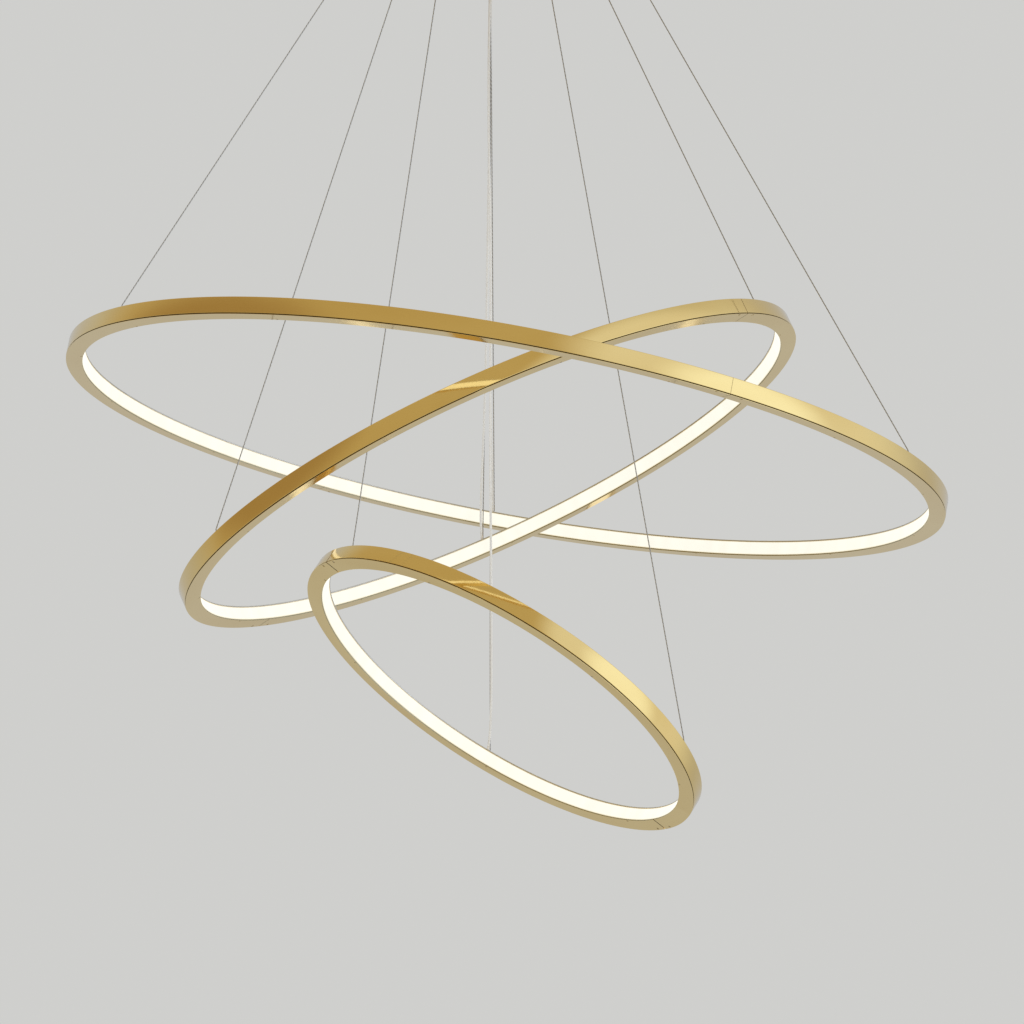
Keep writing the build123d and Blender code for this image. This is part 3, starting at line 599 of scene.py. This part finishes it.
bpy.ops.transform.resize(value=(0.955, 0.955, 1), center_override=(0, 0, -4.5 * MM))
bpy.ops.object.mode_set(mode="OBJECT")
smooth(gripper)
grippers = spread(gripper, "gold_grippers", [p + Vector((0, 0, UNDER)) for p in GRIPPER_PLACES])
bpy.data.objects.remove(gripper)
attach(grippers, "canopy")
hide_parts("gripper_bodies")

nozzle_profile = [(0.8, 13.0), (1.8, 13.0), (2.0, 12.8), (2.0, 4.2), (1.85, 4.0), (1.85, 3.6), (2.0, 3.4), (2.0, 0.7),
                  (1.9, 0.3), (1.5, 0.0), (0.8, 0.0), (0.8, 13.0)]
nozzle = turn_on_lathe("nozzle", [(r * MM, z * MM) for r, z in nozzle_profile], sides=40)
smooth(nozzle)
nozzles = []
for name, hoop in HOOPS.items():
    reach, bearings = hoop["grippers"]
    for side, bearing in zip(SIDES, bearings):
        node = f"{name}_nozzle_{side}"
        piece = spread(nozzle, f"{name}_tip_{side}", [at_bearing(reach * MM, bearing, NOZZLE_MOUTH)])
        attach(piece, node)
        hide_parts(node)
        nozzles.append(piece)
bpy.data.objects.remove(nozzle)
print("gripper faces", len(grippers.data.polygons), "nozzles", len(nozzles))

# %% [markdown]
# ## Cord glands
# A gland grips its cord and keeps it from being pulled out. It has a flat collar against the canopy and a tapered
# nose with shallow steps, which lets the cord bend softly. It is turned on the same lathe.

# %% Three glands
gland_profile = [(1.25, 9.0), (3.7, 9.0), (4.0, 8.7), (4.0, 0.0), (5.7, 0.0), (6.0, -0.3), (6.0, -2.7), (5.7, -3.0),
                 (5.4, -3.1), (4.9, -4.6), (5.0, -4.9), (4.4, -6.6), (4.5, -6.9), (3.8, -8.7), (3.9, -9.0),
                 (3.2, -10.8), (2.9, -11.0), (1.4, -11.0), (1.25, -10.8), (1.25, 9.0)]
gland = turn_on_lathe("gland", [(r * MM, z * MM) for r, z in gland_profile], sides=48)
smooth(gland)
glands = spread(gland, "cord_gland_set", [p + Vector((0, 0, UNDER)) for p in GLAND_PLACES])
bpy.data.objects.remove(gland)
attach(glands, "canopy")
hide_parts("cord_glands")
print("gland faces", len(glands.data.polygons))

# %% [markdown]
# ## Eyelets, sleeves and wire ends on the hoops
# Each wire goes through a small brass eyelet in the top flange and is held by a crimped ball under it. The cord
# goes through a white sleeve beside the far wire. All are turned, and are then tilted with their hoop.

# %% Fit the eyelets, the sleeves and the ball ends
eyelet_profile = [(0.8, 6.8), (0.8, 7.35), (0.95, 7.5), (1.9, 7.5), (2.1, 7.35), (2.1, 6.3), (2.7, 6.3), (2.7, 3.3),
                  (1.5, 3.3), (1.5, 5.95), (0.8, 5.95), (0.8, 6.8)]
sleeve_profile = [(1.25, 7.0), (1.25, 7.4), (1.35, 7.5), (1.65, 7.5), (1.8, 7.4), (1.8, 6.3), (2.2, 6.3), (2.2, 4.7),
                  (1.25, 4.7), (1.25, 7.0)]
ball_profile = [(0.3, 3.3), (0.8, 3.42), (1.15, 3.9), (1.3, 4.6), (1.15, 5.3), (0.8, 5.78), (0.3, 5.9)]
eyelet = smooth(turn_on_lathe("eyelet", [(r * MM, z * MM) for r, z in eyelet_profile], sides=32))
sleeve = smooth(turn_on_lathe("sleeve", [(r * MM, z * MM) for r, z in sleeve_profile], sides=32))
ball = turn_on_lathe("ball", [(r * MM, z * MM) for r, z in ball_profile], sides=24)
bpy.ops.object.mode_set(mode="EDIT")
for height in (3.3, 5.9):
    pick("EDGE", lambda m: abs(m.z - height * MM) < TINY)
    bpy.ops.mesh.edge_face_add()
close_up(ball)
smooth(ball, 50)
eyelets, sleeves, balls = [], [], []
for name, hoop in HOOPS.items():
    wire_spots, cord_spots = hole_places(hoop)
    for master, word, spots, node, finish, group in (
            (eyelet, "eyelets", wire_spots, "_wire_sockets", "gold_fittings", eyelets),
            (sleeve, "sleeve", cord_spots, "_cord_grommet", "white_rubber", sleeves),
            (ball, "wire_balls", wire_spots, None, "steel_wire", balls)):
        piece = spread(master, f"{name}_{word}", spots)
        piece.data.transform(hoop["plane"])
        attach(piece, name)
        if node:
            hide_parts(name + node)
        group.append(piece)
for master in (eyelet, sleeve, ball):
    bpy.data.objects.remove(master)
print("eyelets", len(eyelets), "sleeves", len(sleeves), "ball sets", len(balls))

# %% [markdown]
# ## Writing a finish as nodes
# Every finish below is a Principled shader with a few procedural nodes. `new_finish` makes the shader, and
# `noise` makes a noise pattern that reads either the place on the object or a piece's own UV map. `coat` lets a
# pattern change the colour, the roughness and the relief. What is the same all over the surface is set on the
# shader's own sockets.

# %% Helpers for the finishes


def new_finish(name, **sockets):
    """A material with a Principled shader and these constant sockets."""
    finish = bpy.data.materials.new(name)
    finish.use_nodes = True
    shader = finish.node_tree.nodes["Principled BSDF"]
    for socket, value in sockets.items():
        shader.inputs[socket.replace("_", " ")].default_value = value
    return finish, shader


def add_node(finish, kind, links=(), **settings):
    """A node with these settings. Each link is (socket, another node's output)."""
    node = finish.node_tree.nodes.new("ShaderNode" + kind)
    for key, value in settings.items():
        setattr(node, key, value)
    for socket, source in links:
        if hasattr(source, "is_output"):
            finish.node_tree.links.new(source, node.inputs[socket])
        else:
            node.inputs[socket].default_value = source
    return node


def noise(finish, scale, uv=None, detail=3.0):
    """A noise pattern, scaled on each axis, on the object's own coordinates or on a UV map."""
    if uv:
        where = add_node(finish, "UVMap", uv_map=uv).outputs["UV"]
    else:
        where = add_node(finish, "TexCoord").outputs["Object"]
    mapping = add_node(finish, "Mapping", [("Vector", where), ("Scale", scale)])
    return add_node(finish, "TexNoise", [("Vector", mapping.outputs[0]), ("Scale", 1.0),
                                         ("Detail", detail)]).outputs["Fac"]


def between(finish, fac, low, high):
    """Turn a pattern into a value from low to high."""
    return add_node(finish, "MapRange", [("Value", fac), ("From Min", 0.3), ("From Max", 0.7), ("To Min", low),
                                         ("To Max", high)]).outputs["Result"]


def blend_colours(finish, fac, first, second):
    """Mix two colours by a pattern."""
    ramp = add_node(finish, "ValToRGB", [("Fac", fac)])
    ramp.color_ramp.elements[0].position, ramp.color_ramp.elements[1].position = 0.35, 0.65
    ramp.color_ramp.elements[0].color, ramp.color_ramp.elements[1].color = (*first, 1), (*second, 1)
    return ramp.outputs["Color"]


def relief(finish, height, depth, under=None):
    """A bump of this depth in metres, over another one if there is one."""
    links = [("Height", height), ("Distance", depth)]
    if under:
        links.append(("Normal", under))
    return add_node(finish, "Bump", links).outputs["Normal"]


def join(finish, source, socket):
    """Link a node's output to a socket."""
    finish.node_tree.links.new(source, socket)


def coat(finish, shader, pattern, dark, light, rough, depth, rough_by=None, relief_by=None):
    """Let a pattern give the colour, the roughness and the relief, or another pattern the last two."""
    join(finish, blend_colours(finish, pattern, dark, light), shader.inputs["Base Color"])
    join(finish, between(finish, rough_by or pattern, *rough), shader.inputs["Roughness"])
    join(finish, relief(finish, relief_by or pattern, depth), shader.inputs["Normal"])


def dress(piece, *finishes):
    """Give a piece its material slots."""
    piece.data.materials.clear()
    for finish in finishes:
        piece.data.materials.append(finish)


# %% [markdown]
# ## The hoops' gold
# The channel is rolled from polished aluminium and anodised gold. It mirrors the room, and three things keep it
# from being a perfect mirror: fine draw lines along the profile, slow waves that the rolling leaves, and small
# changes of colour in the anodising. The lines and the waves follow the hoop, so they read its UV map, in metres.

# %% Gold anodised channel
GOLD_DARK, GOLD_LIGHT = (0.85, 0.625, 0.240), (0.90, 0.685, 0.285)


def hoop_gold(name, wave):
    """The hoop's gold. The wave is the depth of the rolling waves in metres."""
    finish, shader = new_finish(name, Metallic=1.0)
    tone = noise(finish, (6.0, 20.0, 1.0), uv="hoop", detail=4.0)
    join(finish, blend_colours(finish, tone, GOLD_DARK, GOLD_LIGHT), shader.inputs["Base Color"])
    streaks = noise(finish, (12.0, 2600.0, 1.0), uv="hoop", detail=2.0)
    join(finish, between(finish, streaks, 0.045, 0.11), shader.inputs["Roughness"])
    waves = noise(finish, (14.0, 34.0, 1.0), uv="hoop", detail=1.0)
    slow = relief(finish, waves, wave)
    join(finish, relief(finish, streaks, 0.004 * MM, under=slow), shader.inputs["Normal"])
    return finish


channel_gold = {"ring_1": hoop_gold("channel_gold_large", 0.10 * MM),
                "ring_2": hoop_gold("channel_gold_middle", 0.14 * MM),
                "ring_3": hoop_gold("channel_gold_small", 0.30 * MM)}
# The groove under the outer face gets a near-black finish with a faint speckle: painted shade, the dark that the
# recess holds, not a colour of the metal.
groove_painted_shade, shader = new_finish("groove_shadow", Metallic=0.6, IOR=1.45)
groove_shade_speckle = noise(groove_painted_shade, (60.0, 900.0, 1.0), uv="hoop")
coat(groove_painted_shade, shader, groove_shade_speckle, (0.045, 0.026, 0.008), (0.085, 0.052, 0.018), (0.55, 0.75), 0.03 * MM)


def cut_edge(name, dark, light):
    """The flanges' thin inner edges, which were milled and are duller than the faces. The colours given paint light
    on the upper edge and shade on the lower one.
    """
    finish, shader = new_finish(name, Metallic=1.0)
    coat(finish, shader, noise(finish, (40.0, 700.0, 1.0), uv="hoop"), dark, light, (0.34, 0.5), 0.01 * MM)
    return finish


# One and the same gold edge in two colours: the upper inner edge is painted pale, which is painted light, and the
# lower one dark brown, which is painted shade.
edge_upper_painted_light = cut_edge("channel_edge_upper", (0.60, 0.585, 0.53), (0.70, 0.68, 0.62))
edge_lower_painted_shade = cut_edge("channel_edge_lower", (0.40, 0.365, 0.24), (0.50, 0.455, 0.31))
NEAR = 0.05 * MM
for piece in channel_halves:
    name = piece.name[:len("ring_1")]
    dress(piece, channel_gold[name], groove_painted_shade, edge_upper_painted_light, edge_lower_painted_shade)
    flat, dark = HOOPS[name]["plane"].inverted(), 0
    for polygon in piece.data.polygons:
        place = flat @ polygon.center
        inset = HOOPS[name]["radius"] - place.xy.length
        in_groove = GROOVE["low"] - TINY < place.z < GROOVE["high"] + TINY
        if in_groove and NEAR < inset < GROOVE["depth"] + 4 * NEAR:
            # a groove face: it takes the near-black painted shade
            polygon.material_index = 1
            dark += 1
        elif inset > SECTION - NEAR:
            # upper inner edges take the painted light, lower ones the painted shade
            polygon.material_index = 2 if place.z > 0 else 3
    print(piece.name, "groove faces", dark)

# %% [markdown]
# ## The light
# Opal acrylic with a light strip behind it shines warm white. Near its two edges a little less light comes
# through, and it is creamier there. The strip's chips are far enough behind it not to show as dots, so only a
# faint unevenness is left. Emission stands for the light that comes through. The acrylic's own colour is dark,
# because light that falls on it from outside mostly goes into it. The back and the two hidden sides get a slot
# without emission, so that no light leaks out at the joints of the channel.

# %% Lit opal acrylic
opal, shader = new_finish("lit_opal", IOR=1.49)
across = add_node(opal, "SeparateXYZ", [("Vector", add_node(opal, "UVMap", uv_map="hoop").outputs["UV"])])
from_middle = add_node(opal, "Math", [(0, across.outputs["Y"])], operation="ABSOLUTE").outputs["Value"]
edge = add_node(opal, "MapRange", [("Value", from_middle), ("From Min", SECTION + BAND_Z - 2.2 * MM),
                                   ("From Max", SECTION + BAND_Z - 0.2 * MM)]).outputs["Result"]
edge_colour = add_node(opal, "ValToRGB", [("Fac", edge)])
warm_white, cream = edge_colour.color_ramp.elements
warm_white.color, cream.color = (0.87, 0.85, 0.75, 1), (0.80, 0.72, 0.52, 1)
join(opal, edge_colour.outputs["Color"], shader.inputs["Emission Color"])
glow = noise(opal, (60.0, 4.0, 1.0), uv="hoop", detail=1.0)
join(opal, between(opal, glow, 0.96, 1.0), shader.inputs["Emission Strength"])
satin = noise(opal, (800.0, 800.0, 1.0), uv="hoop", detail=1.0)
coat(opal, shader, glow, (0.20, 0.195, 0.17), (0.22, 0.215, 0.19), (0.32, 0.42), 0.01 * MM, satin, satin)
opal_back, shader = new_finish("opal_back", IOR=1.49)
haze = noise(opal_back, (200.0, 200.0, 1.0), uv="hoop")
coat(opal_back, shader, haze, (0.74, 0.73, 0.69), (0.78, 0.77, 0.73), (0.4, 0.5), 0.01 * MM)
for piece in milky_bands:
    dress(piece, opal, opal_back)
    hoop = HOOPS[piece.name[:len("ring_1")]]
    flat, hidden = hoop["plane"].inverted(), 0
    for polygon in piece.data.polygons:
        if (flat @ polygon.center).xy.length > hoop["radius"] - SECTION + 0.5 * MM:
            polygon.material_index = 1
            hidden += 1
    print(piece.name, "hidden faces", hidden)

# %% [markdown]
# ## The other metals
# The canopy and the fittings are brass, polished and lacquered. The nozzles are nickel plated, the hidden plate,
# nuts and screws are zinc plated steel, with the cloudy spangle that zinc has.

# %% Brass, nickel, zinc and steel
def plated(name, light, dark, rough, scale):
    """A metal with a slight change of tone and of roughness over its surface."""
    finish, shader = new_finish(name, Metallic=1.0)
    tone, fine = noise(finish, (scale,) * 3, detail=4.0), noise(finish, (900.0,) * 3, detail=2.0)
    coat(finish, shader, tone, dark, light, rough, 0.006 * MM, relief_by=fine)
    return finish


canopy_gold = plated("canopy_gold", GOLD_LIGHT, GOLD_DARK, (0.08, 0.18), 25.0)
fitting_gold = plated("fitting_gold", GOLD_LIGHT, (0.82, 0.60, 0.23), (0.12, 0.24), 300.0)
nickel = plated("nickel_plate", (0.68, 0.66, 0.62), (0.58, 0.56, 0.53), (0.16, 0.28), 400.0)
zinc = plated("zinc_plate", (0.62, 0.63, 0.64), (0.46, 0.47, 0.49), (0.28, 0.5), 120.0)
dress(cover, canopy_gold)
dress(grippers, fitting_gold)
for piece in nozzles:
    dress(piece, nickel)
for piece in eyelets:
    dress(piece, fitting_gold)
print("metals:", [finish.name for finish in (canopy_gold, fitting_gold, nickel, zinc)])

# %% [markdown]
# ## Twisted steel wire
# The strands lie in a steep helix. On the tube's UV map a helix is a slanting stripe, so a wave pattern across
# both UV directions draws it, as roughness, as relief and as colour. The colour is darker in the grooves between
# the strands, which is painted shade.

# %% Wire and ball ends
strand, shader = new_finish("steel_strand", Metallic=1.0)
where = add_node(strand, "UVMap", uv_map="along")
slant = add_node(strand, "Mapping", [("Vector", where.outputs["UV"]), ("Scale", (1.0, 2.2, 1.0))])
lay_and_shade = add_node(strand, "TexWave", [("Vector", slant.outputs[0]), ("Scale", 160.0), ("Distortion", 0.4)],
               wave_type="BANDS", bands_direction="DIAGONAL").outputs["Fac"]
# the darker colour in the grooves between the strands is painted shade; the relief and the roughness are the strands'
# own
coat(strand, shader, lay_and_shade, (0.35, 0.345, 0.335), (0.57, 0.565, 0.545), (0.5, 0.34), 0.08 * MM)
for piece in steel_wires:
    dress(piece, strand)
ball_steel = plated("ball_steel", (0.5, 0.48, 0.45), (0.36, 0.34, 0.31), (0.3, 0.45), 800.0)
for piece in balls:
    dress(piece, ball_steel)
print("wires and ball sets dressed:", len(steel_wires), len(balls))

# %% [markdown]
# ## Cord jacket, rubber and plastics
# The jacket is extruded, so it has a satin skin with faint lines along it. The glands, the sleeves and the
# housings are moulded, with a very fine grain.

# %% White plastics and rubber
jacket, shader = new_finish("cord_jacket", IOR=1.5)
skin = noise(jacket, (30.0, 1500.0, 1.0), uv="along")
coat(jacket, shader, skin, (0.84, 0.82, 0.78), (0.90, 0.885, 0.85), (0.36, 0.48), 0.02 * MM)
for piece in power_cords:
    dress(piece, jacket)


def moulded(name, light, dark, rough, grain=0.02 * MM):
    """A moulded plastic with fine grain."""
    finish, shader = new_finish(name, IOR=1.48)
    cloud, fine = noise(finish, (40.0,) * 3), noise(finish, (1400.0,) * 3, detail=1.0)
    coat(finish, shader, cloud, dark, light, rough, grain, fine, fine)
    return finish


gland_white = moulded("gland_white", (0.82, 0.81, 0.78), (0.76, 0.75, 0.72), (0.34, 0.46))
rubber_white = moulded("rubber_white", (0.80, 0.79, 0.76), (0.74, 0.73, 0.70), (0.6, 0.75))
case_white = moulded("driver_white", (0.82, 0.82, 0.80), (0.78, 0.78, 0.76), (0.45, 0.6), 0.04 * MM)
terminal_white = moulded("terminal_white", (0.86, 0.86, 0.84), (0.81, 0.81, 0.79), (0.25, 0.35))
board_white = moulded("board_white", (0.90, 0.88, 0.78), (0.84, 0.80, 0.62), (0.4, 0.6))
dress(glands, gland_white)
for piece in sleeves:
    dress(piece, rubber_white)
print("cords, sleeves and glands dressed:", len(power_cords), len(sleeves), glands.name)

# %% [markdown]
# ## The CAD pieces that stay
# The parts inside the canopy and the hoops keep their CAD shape. Each takes the finish that its new neighbours have:
# zinc for the plate, the nuts, the keys and the small screws, and white plastic for the cases.

# %% Dress the CAD nodes that stay
CAD_FINISH = {"mounting_plate": zinc, "cover_screws": canopy_gold, "driver_1": case_white, "driver_2": case_white,
              "driver_3": case_white, "driver_screws": zinc, "terminal_block": terminal_white, "gripper_nuts": zinc,
              "gland_nuts": gland_white}
for name in HOOPS:
    for word in ("_joiner_keys", "_joiner_screws", "_retaining_screws"):
        CAD_FINISH[name + word] = zinc
    CAD_FINISH[name + "_led_strip"] = board_white
for node, finish in CAD_FINISH.items():
    dress(bpy.data.objects[node], finish)
print("CAD nodes dressed:", len(CAD_FINISH))

# %% [markdown]
# ## The floor
# A plain pale floor lies far under the hoops and catches their shadow. Mirrored rays and rays from below go
# through it, so the gold mirrors the same backdrop below the horizon as above.

# %% Floor
FLOOR_Z = -2.35
floor = start("studio_floor", bpy.ops.mesh.primitive_plane_add, size=60.0, location=(0, 0, FLOOR_Z))
bpy.ops.mesh.select_all(action="SELECT")
bpy.ops.mesh.subdivide(number_cuts=8)
bpy.ops.object.mode_set(mode="OBJECT")
paper, shader = new_finish("studio_paper", Roughness=0.9)
fibre = noise(paper, (3.0,) * 3)
join(paper, blend_colours(paper, fibre, (0.65, 0.65, 0.635), (0.67, 0.67, 0.655)), shader.inputs["Base Color"])
rays = add_node(paper, "LightPath").outputs
unseen = add_node(paper, "Math", [(0, rays["Is Glossy Ray"]), (1, rays["Is Transmission Ray"])],
                  operation="MAXIMUM")
underside = add_node(paper, "NewGeometry").outputs["Backfacing"]
unseen = add_node(paper, "Math", [(0, unseen.outputs[0]), (1, underside)], operation="MAXIMUM")
mirror_through = add_node(paper, "MixShader", [("Fac", unseen.outputs[0]), (1, shader.outputs[0]),
                                               (2, add_node(paper, "BsdfTransparent").outputs[0])])
join(paper, mirror_through.outputs[0], paper.node_tree.nodes["Material Output"].inputs["Surface"])
dress(floor, paper)
print(floor.name, "faces", len(floor.data.polygons))

# %% [markdown]
# ## The backdrop and the mirrored room
# The world is an even soft light, and the camera sees it as a pale grey backdrop. A photographer shapes mirror
# metal with what stands round it: here a warm room in front, a darker one on the left, daylight on the right,
# a duller wall behind the hoops, and one bright window, in two steps, which gives the cream highlight. Only
# mirrored rays see them. Each fades into the backdrop, so the highlights have soft ends.

# %% World
BACKDROP = (0.625, 0.625, 0.61)
DAYLIGHT = 0.85
WALLS = ({"toward": (-0.75, -0.61, 0.25), "from": -0.15, "full": 0.45, "colour": (0.52, 0.44, 0.28)},
         {"toward": (-0.98, -0.15, 0.10), "from": 0.75, "full": 0.97, "colour": (0.38, 0.28, 0.15)},
         {"toward": (0.98, 0.15, 0.0), "from": 0.70, "full": 0.97, "colour": (0.75, 0.79, 0.86)},
         {"toward": (0.0, 0.99, -0.12), "from": 0.30, "full": 0.80, "colour": (0.515, 0.525, 0.54)},
         {"toward": (0.88, -0.475, -0.03), "from": 0.58, "full": 0.80, "colour": (0.80, 0.83, 0.90)},
         {"toward": (0.88, -0.475, -0.03), "from": 0.88, "full": 0.985, "colour": (1.09, 1.22, 1.48)})
world = bpy.data.worlds.new("studio")
bpy.context.scene.world = world
world.use_nodes = True
world.node_tree.nodes.clear()


def world_node(kind, links=(), **settings):
    """A node of the world with these settings. Each link is (socket, a value or another node's output)."""
    node = world.node_tree.nodes.new("ShaderNode" + kind)
    for key, value in settings.items():
        setattr(node, key, value)
    for socket, source in links:
        if hasattr(source, "is_output"):
            world.node_tree.links.new(source, node.inputs[socket])
        else:
            node.inputs[socket].default_value = source
    return node


rays = world_node("LightPath")
mirrored = world_node("Math", [(0, rays.outputs["Is Glossy Ray"]), (1, rays.outputs["Is Transmission Ray"])],
                      operation="MAXIMUM").outputs[0]
seen = world_node("Math", [(0, rays.outputs["Is Camera Ray"]), (1, mirrored)], operation="MAXIMUM").outputs[0]
direction = world_node("TexCoord").outputs["Generated"]
room = (*BACKDROP, 1)
for wall in WALLS:
    facing = world_node("VectorMath", [(0, direction), (1, wall["toward"])],
                        operation="DOT_PRODUCT").outputs["Value"]
    part = world_node("MapRange", [("Value", facing), ("From Min", wall["from"]), ("From Max", wall["full"])],
                      interpolation_type="SMOOTHSTEP").outputs["Result"]
    part = world_node("Math", [(0, part), (1, mirrored)], operation="MULTIPLY").outputs[0]
    room = world_node("Mix", [(0, part), (6, room), (7, (*wall["colour"], 1))], data_type="RGBA").outputs[2]
backdrop = world_node("Background", [("Color", room), ("Strength", 1.0)]).outputs[0]
soft_light = world_node("Background", [("Color", (1, 1, 1, 1)), ("Strength", DAYLIGHT)]).outputs[0]
choice = world_node("MixShader", [("Fac", seen), (1, soft_light), (2, backdrop)]).outputs[0]
world_node("OutputWorld", [("Surface", choice)])
print("world nodes:", len(world.node_tree.nodes))

# %% [markdown]
# ## Lamps
# Two soft panels, one on the right and one above on the left, add a little direction to the light, so that the
# canopy, the cords and the small fittings have a light and a dark side. They don't show in the gold, which mirrors
# the room instead.

# %% Two soft panels


def soft_panel(name, place, aim, width, height, watts):
    """A rectangular soft lamp that faces a point."""
    data = bpy.data.lights.new(name, "AREA")
    data.shape, data.size, data.size_y, data.energy = "RECTANGLE", width, height, watts
    lamp = bpy.data.objects.new(name, data)
    lamp.location = place
    lamp.rotation_euler = (Vector(aim) - Vector(place)).to_track_quat("-Z", "Y").to_euler()
    lamp.visible_glossy = False
    bpy.context.collection.objects.link(lamp)
    return lamp


soft_panel("panel_right", (2.45, -0.95, -0.35), (0, 0, -0.6), 2.2, 2.0, 9.0)
soft_panel("panel_above", (-1.3, -1.6, 1.7), (0, 0, -0.6), 2.2, 2.2, 9.0)
